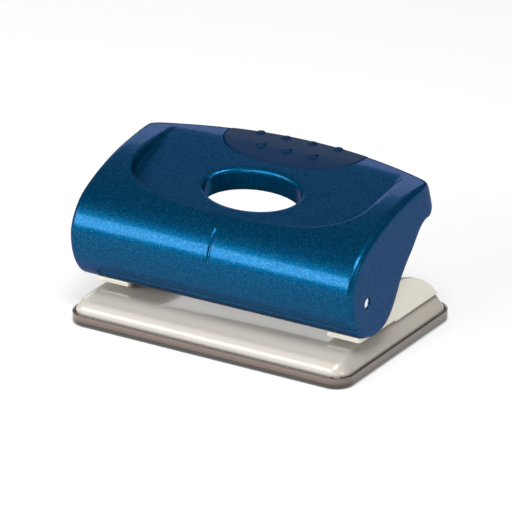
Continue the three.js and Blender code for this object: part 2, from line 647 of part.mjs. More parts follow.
function gripPad(block) {
  let pad = padZone(0).intersect(along(block, PAD_PROUD)).subtract(along(block, -PAD_SUNK));
  const rearRow = HANDLE_REACH + HANDLE_BOW - BUMP_MARGIN;
  const ball = (BUMP_RADIUS ** 2 + BUMP_HEIGHT ** 2) / (2 * BUMP_HEIGHT);
  for (const [count, u] of [[4, rearRow], [3, rearRow - BUMP_ROW_PITCH]]) {
    for (let i = 0; i < count; i += 1) {
      const x = (i - (count - 1) / 2) * BUMP_PITCH;
      const surface = Math.min(recessFloor(u), topHeight(x, u)) + PAD_PROUD;
      const dome = solid(new THREE.SphereGeometry(ball, 12, 8).rotateX(Math.PI / 2)
        .translate(x, u, surface + BUMP_HEIGHT - ball));
      pad = pad.add(dome.subtract(along(block, 0)));
    }
  }
  return pad;
}

// ---- Build ---------------------------------------------------------------------------------------
const block = handleBlock();
addPiece(handle, 'handle_shell', handleShell(block), BLUE_PAINT);
addPiece(handle, 'grip_pad', gripPad(block), BLUE_RUBBER);
const barEnd = HALF_HANDLE - HANDLE_WALL / 2;
addPiece(handle, 'pressure_bar', crosswise(BAR_RADIUS, -barEnd, barEnd, BAR_U, BAR_RISE), BRIGHT_STEEL);

addPiece(base, 'chip_tray', chipTray(), SMOKED_PLASTIC);
addPiece(base, 'base_plate', basePlate(), GREY_ENAMEL);

const rodEnd = HALF_HANDLE - GAP;
const rodClipX = RIB_X + RIB_THICKNESS / 2 + RIB_ROOM / 2;
let rod = crosswise(ROD_RADIUS, -rodEnd, rodEnd, 0, 0);
for (const [side, name] of [[-1, 'left'], [1, 'right']]) {
  const half = CLIP_THICKNESS / 2;
  const low = side * rodClipX - half;
  const high = side * rodClipX + half;
  const groove = ROD_RADIUS - 0.4;
  const sleeve = solid(ring(groove, ROD_RADIUS + 1, low - GAP, high + GAP)).rotate([0, 90, 0]);
  rod = rod.subtract(sleeve);
  const clip = snapClip(groove, ROD_RADIUS + CLIP_RIM, low, high).rotate([0, 90, 0]);
  addPiece(base, `rod_clip_${name}`, clip, SPRING_STEEL).position.set(0, PIVOT_Y, PIVOT_HEIGHT);

  const station = new THREE.Group();
  station.position.set((side * HOLE_SPACING) / 2, 0, 0);
  base.add(station);
  addPiece(station, `bracket_${name}`, bracket(), ZINC_PLATE);
  RIVET_SETBACKS.forEach((setback, i) => {
    const place = i === 0 ? 'front' : 'rear';
    addPiece(station, `rivet_${name}_${place}`, rivet(), ZINC_PLATE).position.set(0, FRONT + setback, 0);
  });

  const pinAxis = new THREE.Group();
  pinAxis.position.set(0, PIN_Y, 0);
  station.add(pinAxis);
  addPiece(pinAxis, `punch_pin_${name}`, punchPin(), BRIGHT_STEEL);
  addPiece(pinAxis, `guide_bush_${name}`, guideBush(), BRIGHT_STEEL);
  addPiece(pinAxis, `die_bush_${name}`, dieBush(), BRIGHT_STEEL);
  addPiece(pinAxis, `return_spring_${name}`, returnSpring(), SPRING_STEEL);
  const washer = ring(PIN_RADIUS + RUNNING, COLLAR_RADIUS, WASHER_TOP - WASHER_THICKNESS, WASHER_TOP);
  addPiece(pinAxis, `spring_washer_${name}`, washer, ZINC_PLATE);
  const pinClip = snapClip(PIN_RADIUS - GROOVE_DEPTH, COLLAR_RADIUS, CLIP_TOP - CLIP_THICKNESS, CLIP_TOP);
  addPiece(pinAxis, `retaining_clip_${name}`, pinClip, SPRING_STEEL);
}
addPiece(base, 'pivot_rod', rod, BRIGHT_STEEL).position.set(0, PIVOT_Y, PIVOT_HEIGHT);

export default punch;
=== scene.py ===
# %% [markdown]
# # A desk hole punch
#
# The punch has a wide handle moulded in blue lacquered plastic, a pressed and enamelled steel base that
# stands in a smoky plastic chip tray, and two folded brackets with the punching pins between their ears.
# This lesson builds each visible piece as a mesh round the punch's mechanical model, which gives every
# position, and then mixes the finishes from shader nodes.

# %% Load the mechanical model
import json
import math

import bmesh
import bpy
import numpy as np
from mathutils import Matrix, Vector
from mathutils.geometry import delaunay_2d_cdt


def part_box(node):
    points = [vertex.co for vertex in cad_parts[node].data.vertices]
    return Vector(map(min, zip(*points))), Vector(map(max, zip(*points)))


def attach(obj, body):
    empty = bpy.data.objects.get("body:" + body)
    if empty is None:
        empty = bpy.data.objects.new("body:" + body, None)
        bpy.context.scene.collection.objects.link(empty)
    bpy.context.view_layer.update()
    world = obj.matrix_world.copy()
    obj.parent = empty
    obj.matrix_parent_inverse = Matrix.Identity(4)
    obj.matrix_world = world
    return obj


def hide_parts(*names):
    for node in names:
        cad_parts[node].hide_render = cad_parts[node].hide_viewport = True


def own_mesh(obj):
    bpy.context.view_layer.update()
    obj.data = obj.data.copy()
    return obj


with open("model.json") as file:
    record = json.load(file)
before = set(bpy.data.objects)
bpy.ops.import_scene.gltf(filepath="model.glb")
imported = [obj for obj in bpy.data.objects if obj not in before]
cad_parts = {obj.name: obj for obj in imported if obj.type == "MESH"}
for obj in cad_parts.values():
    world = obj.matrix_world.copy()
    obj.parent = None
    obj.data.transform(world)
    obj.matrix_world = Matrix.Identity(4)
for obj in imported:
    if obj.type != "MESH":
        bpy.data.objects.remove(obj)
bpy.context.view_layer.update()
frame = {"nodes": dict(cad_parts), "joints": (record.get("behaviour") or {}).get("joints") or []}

MM = 0.001
NODES = frame["nodes"]
JOINTS = {joint["name"]: joint for joint in frame["joints"]}
print("nodes:", len(NODES), "joints:", list(JOINTS))

# %% [markdown]
# ## Camera
#
# A long lens from a little above and to the right of the front keeps the punch's long edges almost
# parallel, so that its proportions can be judged. The camera is placed by its turn, its tilt and its
# distance from a point inside the punch, so each number has one plain effect.

# %% Camera
TURN = math.radians(31.63)
TILT = math.radians(22.25)
DISTANCE = 1165.1 * MM
LOOK_AT = Vector((0, -1 * MM, 25 * MM))
LENS_MM = 275.2
SHIFT = (-0.0045, -0.0233)


def place_camera():
    data = bpy.data.cameras.new("camera")
    data.lens = LENS_MM
    data.sensor_width = 36
    data.shift_x, data.shift_y = SHIFT
    camera = bpy.data.objects.new("camera", data)
    bpy.context.scene.collection.objects.link(camera)
    back = Vector((math.sin(TURN) * math.cos(TILT), -math.cos(TURN) * math.cos(TILT), math.sin(TILT)))
    camera.location = LOOK_AT + back * DISTANCE
    camera.rotation_euler = back.to_track_quat("Z", "Y").to_euler()
    bpy.context.scene.camera = camera
    print("camera at", [round(v, 3) for v in camera.location])


place_camera()

# %% [markdown]
# ## Shader helpers
#
# Finishes are easier to read as sums than as webs of nodes. A small class wraps a node's socket, and its
# operators add Math nodes, so that `0.3 + grain * 0.1` is two nodes. Any other node comes from one method
# that takes the node's type, its settings and what its sockets hold.


# %% Shader helpers
class Flow:
    """A number, colour or vector that comes out of a node of one material."""

    def __init__(self, paint, socket):
        self.paint = paint
        self.socket = socket

    def _math(self, operation, first, second):
        return self.paint.node("ShaderNodeMath", {"operation": operation}, {0: first, 1: second})

    def __add__(self, other):
        return self._math("ADD", self, other)

    __radd__ = __add__

    def __mul__(self, other):
        return self._math("MULTIPLY", self, other)

    __rmul__ = __mul__

    def __sub__(self, other):
        return self._math("SUBTRACT", self, other)

    def __rsub__(self, other):
        return self._math("SUBTRACT", other, self)

class Paint:
    """One material, with its surface shader and short ways to add nodes."""

    def __init__(self, name, **surface):
        self.material = bpy.data.materials.new(name)
        self.material.use_nodes = True
        self.tree = self.material.node_tree
        self.shader = self.tree.nodes["Principled BSDF"]
        for socket, value in surface.items():
            self.shader.inputs[socket.replace("_", " ")].default_value = value

    def node(self, kind, settings=None, sockets=None, out=0):
        made = self.tree.nodes.new(kind)
        for name, value in (settings or {}).items():
            if name == "stops":
                self._set_stops(made.color_ramp, value)
            else:
                setattr(made, name, value)
        for key, value in (sockets or {}).items():
            self.feed(made.inputs[key], value)
        return Flow(self, made.outputs[out])

    def _set_stops(self, ramp, stops):
        while len(ramp.elements) < len(stops):
            ramp.elements.new(1)
        for element, (place, value) in zip(ramp.elements, stops):
            element.position = place
            element.color = (*value, 1) if hasattr(value, "__len__") else (value, value, value, 1)

    def feed(self, socket, value):
        if isinstance(value, Flow):
            self.tree.links.new(value.socket, socket)
        else:
            socket.default_value = value

    def place(self):
        """Object coordinates: metres in the punch's own frame."""
        return self.node("ShaderNodeTexCoord", out="Object")

    def noise(self, scale, detail=3.0, rough=0.5, out="Fac"):
        return self.node("ShaderNodeTexNoise", None, {
            "Vector": self.place(), "Scale": scale, "Detail": detail, "Roughness": rough}, out)

    def ramp(self, value, stops):
        return self.node("ShaderNodeValToRGB", {"stops": stops}, {"Fac": value})

    def blend(self, factor, first, second):
        made = self.tree.nodes.new("ShaderNodeMix")
        made.data_type = "RGBA"
        slots = [socket for socket in made.inputs if socket.type == "RGBA"]
        self.feed(made.inputs[0], factor)
        for socket, colour in zip(slots, (first, second)):
            self.feed(socket, (*colour, 1) if isinstance(colour, tuple) else colour)
        return Flow(self, [socket for socket in made.outputs if socket.type == "RGBA"][0])

    def bump(self, height, distance, strength=1.0):
        return self.node("ShaderNodeBump", None, {
            "Height": height, "Distance": distance, "Strength": strength})

    def surface(self, **sockets):
        for name, value in sockets.items():
            self.feed(self.shader.inputs[name.replace("_", " ")], value)
        return self.material


# %% [markdown]
# ## Mesh helpers
#
# Each finished piece is one mesh object at the origin, with its place in its vertices. It rides on the
# body that carries it, stands for the mechanical node that it details, and names the finish it takes.


# %% Mesh helpers
def new_piece(name, verts, faces, body, material, replaced=(), smooth=30):
    mesh = bpy.data.meshes.new(name)
    mesh.from_pydata([tuple(v) for v in verts], [], [tuple(f) for f in faces])
    mesh.validate()
    piece = bpy.data.objects.new(name, mesh)
    bpy.context.scene.collection.objects.link(piece)
    return finish_piece(piece, body, material, replaced, smooth)


def finish_piece(piece, body, material, replaced=(), smooth=30):
    mesh = piece.data
    if material is not None:
        mesh.materials.clear()
        mesh.materials.append(material)
    mesh.shade_smooth()
    if smooth < 180:
        mesh.set_sharp_from_angle(angle=math.radians(smooth))
    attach(piece, body)
    if replaced:
        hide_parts(*replaced)
    print(f"{piece.name}: {len(mesh.polygons)} faces")
    return piece


def bake_modifiers(piece):
    """Swaps a piece's mesh for the one that its modifiers make."""
    graph = bpy.context.evaluated_depsgraph_get()
    result = bpy.data.meshes.new_from_object(piece.evaluated_get(graph))
    piece.modifiers.clear()
    piece.data = result
    return piece


def lathe(profile, steps=64):
    """Turns a closed profile of (radius, height) about +Z. Points on the axis become single vertices."""
    verts, rings = [], []
    for radius, height in profile:
        if radius < 1e-9:
            rings.append([len(verts)] * steps)
            verts.append(Vector((0, 0, height)))
            continue
        rings.append(list(range(len(verts), len(verts) + steps)))
        for k in range(steps):
            angle = 2 * math.pi * k / steps
            verts.append(Vector((radius * math.cos(angle), radius * math.sin(angle), height)))
    faces = []
    closed = profile[0][0] > 1e-9
    pairs = list(zip(rings, rings[1:] + (rings[:1] if closed else [])))
    for low, high in pairs:
        for k in range(steps):
            n = (k + 1) % steps
            corners = [low[k], low[n], high[n], high[k]]
            faces.append(list(dict.fromkeys(corners)))
    return verts, [f for f in faces if len(f) > 2]


def softened(profile, radius=0.12 * MM, steps=2):
    """Rounds every corner of a profile that doesn't lie on the axis."""
    closed = profile[0][0] > 1e-9
    out = []
    count = len(profile)
    for i, point in enumerate(profile):
        if point[0] < 1e-9 or (not closed and i in (0, count - 1)):
            out.append(point)
            continue
        here = Vector(point)
        before = Vector(profile[i - 1]) - here
        after = Vector(profile[(i + 1) % count]) - here
        reach = min(radius, before.length * 0.4, after.length * 0.4)
        start, end = here + before.normalized() * reach, here + after.normalized() * reach
        for k in range(steps + 1):
            t = k / steps
            curve = start * (1 - t) ** 2 + here * (2 * t * (1 - t)) + end * t ** 2
            out.append((max(curve.x, 0.0), curve.y))
    return out


def placed(verts, centre, lay_along_x=False):
    turn = Matrix.Rotation(math.pi / 2, 3, "Y") if lay_along_x else Matrix.Identity(3)
    return [turn @ v + Vector(centre) for v in verts]


# %% [markdown]
# ## Outline tools
#
# The handle's top is cut up by three outlines: the recess, the finger hole and the grip pad. A mesh shows
# them crisply only if its edges run along them, so the top is triangulated with rings of points on both
# sides of each outline and an even scatter of points elsewhere.


# %% Outline tools
def bezier(p0, p1, p2, p3, count):
    t = np.linspace(0, 1, count + 1)[1:, None]
    p0, p1, p2, p3 = (np.array(p, float) for p in (p0, p1, p2, p3))
    return (1 - t) ** 3 * p0 + 3 * t * (1 - t) ** 2 * p1 + 3 * t ** 2 * (1 - t) * p2 + t ** 3 * p3


def distance_to(points, line, closed=True):
    """Shortest distance of each point to a polyline."""
    ends = np.roll(line, -1, axis=0) if closed else line[1:]
    starts = line if closed else line[:-1]
    best = np.full(len(points), 1e9)
    for a, b in zip(starts, ends):
        ab = b - a
        t = np.clip(((points - a) @ ab) / max(ab @ ab, 1e-18), 0, 1)
        best = np.minimum(best, np.hypot(*(points - a - t[:, None] * ab).T))
    return best


def is_inside(points, polygon):
    x, y = points[:, 0], points[:, 1]
    inside = np.zeros(len(points), bool)
    for (x0, y0), (x1, y1) in zip(polygon, np.roll(polygon, -1, axis=0)):
        crosses = (y0 > y) != (y1 > y)
        with np.errstate(divide="ignore", invalid="ignore"):
            at = (x1 - x0) * (y - y0) / (y1 - y0) + x0
        inside ^= crosses & (x < at)
    return inside


def depth_inside(points, polygon):
    """Signed distance to a closed outline, positive inside."""
    distance = distance_to(points, polygon)
    return np.where(is_inside(points, polygon), distance, -distance)


def ramp_up(value, low, high):
    t = np.clip((value - low) / (high - low), 0, 1)
    return t * t * (3 - 2 * t)


def triangulated(border, holes, rings, loose, spacing):
    """Triangles that fill a border except for its holes, with edges along the rings."""
    keep = np.ones(len(loose), bool)
    for line, closed in [(border, True)] + [(h, True) for h in holes] + rings:
        keep &= distance_to(loose, line, closed) > spacing * 0.55
    keep &= is_inside(loose, border)
    for hole in holes:
        keep &= ~is_inside(loose, hole)
    points, edges = [], []
    for line, closed in [(border, True)] + [(h, True) for h in holes] + rings:
        first = len(points)
        points += [tuple(p) for p in line]
        count = len(line)
        edges += [(first + i, first + (i + 1) % count) for i in range(count if closed else count - 1)]
    points += [tuple(p) for p in loose[keep]]
    verts, _, faces, *_ = delaunay_2d_cdt([Vector(p) for p in points], edges, [], 0, 1e-9)
    verts = np.array([tuple(v) for v in verts])
    faces = np.array([tuple(f) for f in faces])
    centres = verts[faces].mean(axis=1)
    wanted = is_inside(centres, border)
    for hole in holes:
        wanted &= ~is_inside(centres, hole)
    faces = faces[wanted]
    used = np.unique(faces)
    fresh = np.full(len(verts), -1)
    fresh[used] = np.arange(len(used))
    return verts[used], fresh[faces]


# %% [markdown]
# ## The form of the handle
#
# The handle is one moulding: a wall that starts at the lower edge of the front, climbs over the brow and
# the top and turns down again as a rear lip, closed by a flat leaf at each side. Its form is one rule: a
# place across and a place along the wall give a point, and a depth gives the point below it. The same rule
# then makes the outer skin, the inner skin, the grip pad and everything that must follow the surface.


# %% Sizes of the handle
shell_low, shell_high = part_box("handle_shell")
PIVOT = np.array(JOINTS["handle_press"]["pos_m"])
HALF = shell_high.x
FRONT_SHARE = 0.2391         # the front stands this share of the reach ahead of the pivot
REACH = (PIVOT[1] - shell_low.y) / FRONT_SHARE
DROP = PIVOT[2] - shell_low.z
BOW, CROWN = 9.2 * MM, 1.0 * MM
RISE = shell_high.z - PIVOT[2] - 0.96 * CROWN
WALL = 2.2 * MM
RIM = WALL / 2
FILLET = 2.0 * MM
REAR_CORNER = 5 * MM         # rounding between the side walls and the rear lip, in plan
BOW_STARTS, BOW_ENDS = 0.43, 0.92          # shares of the reach between which the bow grows
CORNER_STARTS, CORNER_ENDS = 0.62, 0.92    # and between which the corners draw in
STEP = 0.9 * MM              # spacing of the points that fill the skin


def side_curve(parts, count=40):
    """Points in the side view, from lists of three control points in shares of reach, rise and drop."""
    def real(share):
        return share[0] * REACH, share[1] * (RISE if share[1] > 0 else DROP)
    points = [np.array([real(parts[0])])]
    last = real(parts[0])
    for controls in parts[1:]:
        controls = [real(c) for c in controls]
        points.append(bezier(last, *controls, count))
        last = controls[-1]
    return np.vstack(points)


WALL_CURVE = side_curve([
    (0.145, -1),
    [(0.1, -1.0), (0.06, -0.98), (0.03, -0.95)],
    [(-0.135, -0.9), (-0.243, -0.36), (-0.239, 0.165)],
    [(-0.236, 0.3), (-0.177, 0.455), (-0.105, 0.56)],
    [(-0.03, 0.67), (0.17, 0.807), (0.37, 0.896)],
    [(0.52, 0.96), (0.71, 0.996), (0.86, 1)],
    [(0.91, 1.005), (0.93, 0.955), (0.951, 0.872)],
    [(0.965, 0.808), (0.979, 0.744), (0.992, 0.68)],
    [(1.0, 0.62), (0.985, 0.572), (0.95, 0.555)],
])
FREE_CURVE = side_curve([
    (0.95, 0.555),
    [(0.785, 0.461), (0.6, 0.225), (0.496, -0.015)],
    [(0.413, -0.46), (0.343, -1.005), (0.145, -1)],
])


def along_lengths(line):
    return np.concatenate([[0], np.cumsum(np.hypot(*np.diff(line, axis=0).T))])


def resampled(line, spacing):
    lengths = along_lengths(line)
    count = max(int(round(lengths[-1] / spacing)), 2)
    at = np.linspace(0, lengths[-1], count + 1)
    return np.column_stack([np.interp(at, lengths, line[:, i]) for i in range(line.shape[1])])


def left_normals(line):
    way = np.gradient(line, axis=0)
    way /= np.linalg.norm(way, axis=1)[:, None]
    return np.column_stack([-way[:, 1], way[:, 0]])


WALL_LINE = resampled(WALL_CURVE, 0.25 * MM)
WALL_S = along_lengths(WALL_LINE)
WALL_OUT = left_normals(WALL_LINE)
LENGTH = WALL_S[-1]


def place_on_wall(share_u, share_v):
    """How far along the wall the point nearest to this one in the side view is."""
    target = np.array([share_u * REACH, share_v * (RISE if share_v > 0 else DROP)])
    return WALL_S[np.argmin(np.hypot(*(WALL_LINE - target).T))]


print("wall is", round(LENGTH / MM, 1), "mm long; reach", round(REACH / MM, 2), "rise", round(RISE / MM, 2))


# %% [markdown]
# ## The rule of the handle's form
#
# A side view alone would give a plain trough. The real moulding has rounded side edges, a rear lip that
# bows out towards its middle, and round corners in plan. These could be modelled by moving control points
# by hand, but then the pad, the bumps and the inner skin would each need the same work again. Here they are
# three small terms in one function, so whatever is placed with it follows the surface by itself.


# %% The rule of the handle's form
EDGE_X = HALF - FILLET       # where the rounding towards the side starts
SIDE_X = EDGE_X + FILLET * math.pi / 2


def fillet_at(s):
    """The side rounding tapers off towards the lower corners and round the tight turn at the rear."""
    grown = ramp_up(s, 2 * MM, 15 * MM) * ramp_up(LENGTH - s, 8 * MM, 30 * MM)
    return RIM + (FILLET - RIM) * grown


def corner_pull(across, u):
    """How far the rounded rear corner lies ahead of where the bowed lip would meet the side."""
    slope = 2 * BOW / HALF
    steepness = math.hypot(1, slope)
    from_side = np.clip(HALF - across, 0, REAR_CORNER)
    arc = np.sqrt(REAR_CORNER ** 2 - (REAR_CORNER - from_side) ** 2)
    cut = slope * from_side + REAR_CORNER * (steepness - slope) - arc
    cut = np.where(from_side < REAR_CORNER * (1 - slope / steepness), cut, 0)
    return cut * ramp_up(u, CORNER_STARTS * REACH, CORNER_ENDS * REACH)


def form(x, s, depth=0.0):
    """Points of the handle. x runs across and wraps round onto the side, s runs along the wall."""
    x, s = np.broadcast_arrays(np.asarray(x, float), np.asarray(s, float))
    side, away = np.sign(x), np.abs(x)
    radius = fillet_at(s)
    flat = EDGE_X - FILLET
    squeezed = flat + (away - flat) * (HALF - radius - flat) / (EDGE_X - flat)
    across = np.where(away < flat, away, np.minimum(squeezed, HALF - radius))
    angle = np.clip((away - EDGE_X) / FILLET, 0, math.pi / 2)
    at_skin = across + np.where(angle > 0, radius * np.sin(angle), 0)
    across = across + np.where(angle > 0, (radius - depth) * np.sin(angle), 0)
    sunk = np.where(angle > 0, radius - (radius - depth) * np.cos(angle), depth)
    u = np.interp(s, WALL_S, WALL_LINE[:, 0]) - sunk * np.interp(s, WALL_S, WALL_OUT[:, 0])
    v = np.interp(s, WALL_S, WALL_LINE[:, 1]) - sunk * np.interp(s, WALL_S, WALL_OUT[:, 1])
    middle = np.maximum(1 - (across / HALF) ** 2, 0)
    share = ramp_up(u, BOW_STARTS * REACH, BOW_ENDS * REACH) * middle
    bowed = u + BOW * share - corner_pull(at_skin, u)
    return np.stack([side * across, bowed, v + CROWN * share], axis=-1) + [0, PIVOT[1], PIVOT[2]]


def outward(x, s):
    way = form(x, s) - form(x, s, 0.5 * MM)
    return way / np.linalg.norm(way, axis=-1)[..., None]


S_BROW = place_on_wall(-0.105, 0.56)
S_CREST = place_on_wall(0.86, 1)
print("brow and crest lie at", round(S_BROW / MM, 1), "and", round(S_CREST / MM, 1), "mm along the wall")


def unroll(plan):
    """The (x, s) of the points of the top that lie above these points in plan."""
    x = plan[:, 0]
    low, high = np.full(len(x), S_BROW - 3 * MM), np.full(len(x), S_CREST + 2 * MM)
    for _ in range(40):
        middle = (low + high) / 2
        ahead = form(x, middle)[:, 1] < plan[:, 1]
        low, high = np.where(ahead, middle, low), np.where(ahead, high, middle)
    return np.column_stack([x, (low + high) / 2])


# %% [markdown]
# ## Recess, finger hole and grip outlines
#
# The recess in the top is a flat floor sunk into the crowned surface, so it is deepest in front and runs
# out at the rear by itself. Its front is a superellipse, which has fuller corners than an ellipse.


# %% Recess, finger hole and grip outlines
FLOOR_SLOPE = 0.29
HOLE_AT = PIVOT[1] + 15.7 * MM
HOLE_A, HOLE_B = 16 * MM, 9.1 * MM
RECESS_DEPTH = 3.1 * MM
COLLAR_DEPTH = 7 * MM
LIP_ROUND = 1.2 * MM         # rounding of the finger hole's upper edge


def arch(half_width, length, middle, exponent, rear, count=72):
    """Plan points of a superellipse front with straight sides that run back to rear."""
    angle = np.linspace(0, math.pi, count + 1)
    c, s = np.cos(angle), np.sin(angle)
    x = -half_width * np.sign(c) * np.abs(c) ** (2 / exponent)
    y = middle - length * s ** (2 / exponent)
    line = np.vstack([[-half_width, rear], np.column_stack([x, y]), [half_width, rear]])
    return line


def recess_line(inset, rear):
    front = arch(HALF - 8.4 * MM - inset, 18.6 * MM - inset, PIVOT[1] + 19.25 * MM, 2.9, rear)
    return resampled(front, 0.9 * MM)


def hole_line(grow, count=112):
    angle = np.linspace(0, 2 * math.pi, count, endpoint=False)
    return np.column_stack([(HOLE_A + grow) * np.cos(angle), HOLE_AT + (HOLE_B + grow) * np.sin(angle)])


top_at_hole = form(0.0, unroll(np.array([[0.0, HOLE_AT]]))[0, 1])[2]
FLOOR_Z = top_at_hole - RECESS_DEPTH


def floor_height(y):
    return FLOOR_Z + FLOOR_SLOPE * (y - HOLE_AT)


RECESS = recess_line(0, PIVOT[1] + 3 * REACH)

PAD_HALF = 23.8 * MM
PAD_END = S_CREST + 7.5 * MM
pad_front = unroll(arch(PAD_HALF, 12.7 * MM, PIVOT[1] + REACH + BOW - 7.7 * MM, 2.4, 0, 60)[1:-1])
PAD_LINE = resampled(np.vstack([
    pad_front,
    bezier((PAD_HALF, PAD_END - 3 * MM), (PAD_HALF, PAD_END), (PAD_HALF, PAD_END),
           (PAD_HALF - 3 * MM, PAD_END), 6),
    bezier((3 * MM - PAD_HALF, PAD_END), (-PAD_HALF, PAD_END), (-PAD_HALF, PAD_END),
           (-PAD_HALF, PAD_END - 3 * MM), 6),
    pad_front[:1],
]), 0.8 * MM)[:-1]


def outline_grown(line, distance):
    """A closed outline moved outwards by a distance."""
    ahead, behind = np.roll(line, -1, axis=0), np.roll(line, 1, axis=0)
    way = ahead - behind
    way /= np.linalg.norm(way, axis=1)[:, None]
    out = np.column_stack([way[:, 1], -way[:, 0]])
    turning = np.sum(line[:, 0] * ahead[:, 1] - ahead[:, 0] * line[:, 1])
    return line + out * distance * np.sign(turning)


# %% [markdown]
# ## What is cut into the surface
#
# Every feature of the skin is a small push of the point that the rule gives: down to the floor of the
# recess, down into the pocket of the grip pad, in along the centre mark and the parting groove near the
# lower edge, and over the rounded lip of the finger hole.


# %% What is cut into the surface
MARK_FROM, MARK_TO = place_on_wall(-0.225, 0.19), place_on_wall(-0.1, 0.565)
MARK_DEPTH = 0.4 * MM
LINE_HALF_WIDTH = 0.3 * MM   # of the centre mark and the groove
POCKET_DEPTH = 0.9 * MM
GROOVE_S = place_on_wall(-0.15, -0.56)
GROOVE_DEPTH = 0.35 * MM
FRONT_END = place_on_wall(0.03, -0.95) + 0.6 * MM
GROOVE = resampled(np.vstack([
    [-40.5 * MM, FRONT_END + 0.2 * MM],
    bezier((-40.5 * MM, FRONT_END + 0.8 * MM), (-40.5 * MM, GROOVE_S), (-40.5 * MM, GROOVE_S),
           (-38 * MM, GROOVE_S), 8),
    [EDGE_X + 2 * MM, GROOVE_S],
]), 0.7 * MM)


def recessed(points, below=0.0):
    """Sinks what lies over the recess to its floor, or to a floor and walls that are below thick."""
    inside = depth_inside(points[:, :2], RECESS) + below
    share = ramp_up(inside, -0.45 * MM, 0.75 * MM)
    share = share * (points[:, 2] > PIVOT[2] + 0.4 * RISE)
    gap = points[:, 2] - floor_height(points[:, 1]) + below
    softness = 0.35 * MM
    sunk = (gap + np.sqrt(gap ** 2 + softness ** 2)) / 2
    points = points.copy()
    points[:, 2] -= share * sunk
    return points


def skin(flat, feature=True):
    """Outer skin points and the way out, for (x, s) rows."""
    points = recessed(form(flat[:, 0], flat[:, 1]))
    way = outward(flat[:, 0], flat[:, 1])
    if not feature:
        return points, way
    pocket = ramp_up(depth_inside(flat, PAD_LINE), -0.22 * MM, -0.06 * MM) * POCKET_DEPTH
    mark = np.exp(-(flat[:, 0] / LINE_HALF_WIDTH) ** 2) * MARK_DEPTH
    mark *= ramp_up(flat[:, 1], MARK_FROM, MARK_FROM + 1 * MM)
    mark *= ramp_up(-flat[:, 1], -MARK_TO, 1 * MM - MARK_TO)
    groove = np.exp(-(distance_to(flat, GROOVE, False) / LINE_HALF_WIDTH) ** 2) * GROOVE_DEPTH
    points = points - way * (pocket + mark + groove)[:, None]
    beyond = np.clip(-depth_inside(points[:, :2], hole_line(0)), 0, LIP_ROUND)
    top = points[:, 2] > PIVOT[2] + 0.4 * RISE
    points[:, 2] -= top * (LIP_ROUND - np.sqrt(LIP_ROUND ** 2 - (LIP_ROUND - beyond) ** 2))
    return points, way


def under_skin(flat):
    """Inner skin points. Near the finger hole they move outwards, to leave room for its collar."""
    points = recessed(form(flat[:, 0], flat[:, 1], WALL), WALL)
    edge = hole_line(0)
    beyond = -depth_inside(form(flat[:, 0], flat[:, 1])[:, :2], edge)
    near = (beyond < 3 * MM) & (flat[:, 1] > S_BROW - 3 * MM) & (flat[:, 1] < S_CREST)
    for i in np.nonzero(near)[0]:
        x, y = form(flat[i, 0], flat[i, 1])[:2]
        way = np.array([x / HOLE_A ** 2, (y - HOLE_AT) / HOLE_B ** 2])
        way /= np.linalg.norm(way)
        x, y = np.array([x, y]) + way * (WALL + beyond[i] * 0.8 / 3 - beyond[i])
        points[i] = x, y, floor_height(y) - WALL
    return points


# %% [markdown]
# ## Closing a sheet into a body
#
# The outer and the inner skin share one net of triangles. A strip round each open edge joins them: half
# round where the wall just ends, straight through the holes for the rod, and a deep collar round the
# finger hole.


# %% Closing a sheet into a body
def open_edges(faces):
    """The loops of vertices round a net of triangles, with the net on their left."""
    directed = {}
    for a, b, c in faces:
        for edge in ((a, b), (b, c), (c, a)):
            directed[edge] = True
    following = {a: b for a, b in directed if (b, a) not in directed}
    loops = []
    while following:
        start, step = following.popitem()
        loop = [start]
        while step != start:
            loop.append(step)
            step = following.pop(step)
        loops.append(np.array(loop))
    return loops


def half_round(outer, inner, steps=6):
    """Points on half circles that join two loops, bulging away from the sheet."""
    across = (outer - inner) / 2
    normal = across / np.linalg.norm(across, axis=1)[:, None]
    way = np.roll(outer, -1, axis=0) - np.roll(outer, 1, axis=0)
    out = np.cross(way, normal)
    out *= (np.linalg.norm(across, axis=1) / np.maximum(np.linalg.norm(out, axis=1), 1e-12))[:, None]
    centre = (outer + inner) / 2
    angles = np.linspace(0, math.pi, steps + 1)[1:-1]
    return [centre + across * math.cos(a) + out * math.sin(a) for a in angles]


def closed_body(outer, inner, faces, between):
    """Vertices and faces of the body between two skins. between(outer loop, inner loop) gives the rings."""
    verts = [outer, inner]
    count = len(outer)
    polygons = [tuple(f) for f in faces] + [tuple(count + i for i in reversed(f)) for f in faces]
    total = 2 * count
    for loop in open_edges([tuple(f) for f in faces]):
        rings = [loop]
        for points in between(outer[loop], inner[loop]):
            verts.append(points)
            rings.append(np.arange(total, total + len(loop)))
            total += len(loop)
        rings.append(loop + count)
        for near, far in zip(rings, rings[1:]):
            after_near, after_far = np.roll(near, -1), np.roll(far, -1)
            polygons += [tuple(q) for q in np.column_stack([after_near, near, far, after_far])]
    return np.vstack(verts), polygons


# %% [markdown]
# ## The handle shell
#
# This is the big blue moulding that the hand presses: an open shell with a thin wall, two ribs inside that
# carry the rod, and a collar round the finger hole. It could be a subdivided box with boolean cuts, but
# booleans leave uneven shading beside every cut. A net of triangles whose edges follow each outline keeps
# the surface smooth, and rows that crowd where the wall turns keep the brow and the rear lip round.


# %% The handle shell
def even_rows(low, high):
    """Places along the wall, closer together where it turns more sharply."""
    way = np.gradient(WALL_LINE, axis=0)
    turned = np.abs(np.gradient(np.unwrap(np.arctan2(way[:, 1], way[:, 0]))))
    measure = np.cumsum(np.gradient(WALL_S) / STEP + turned / math.radians(7))
    ends = np.interp([low, high], WALL_S, measure)
    rows = np.linspace(*ends, int(ends[1] - ends[0]) + 2)
    return np.interp(rows, measure, WALL_S)


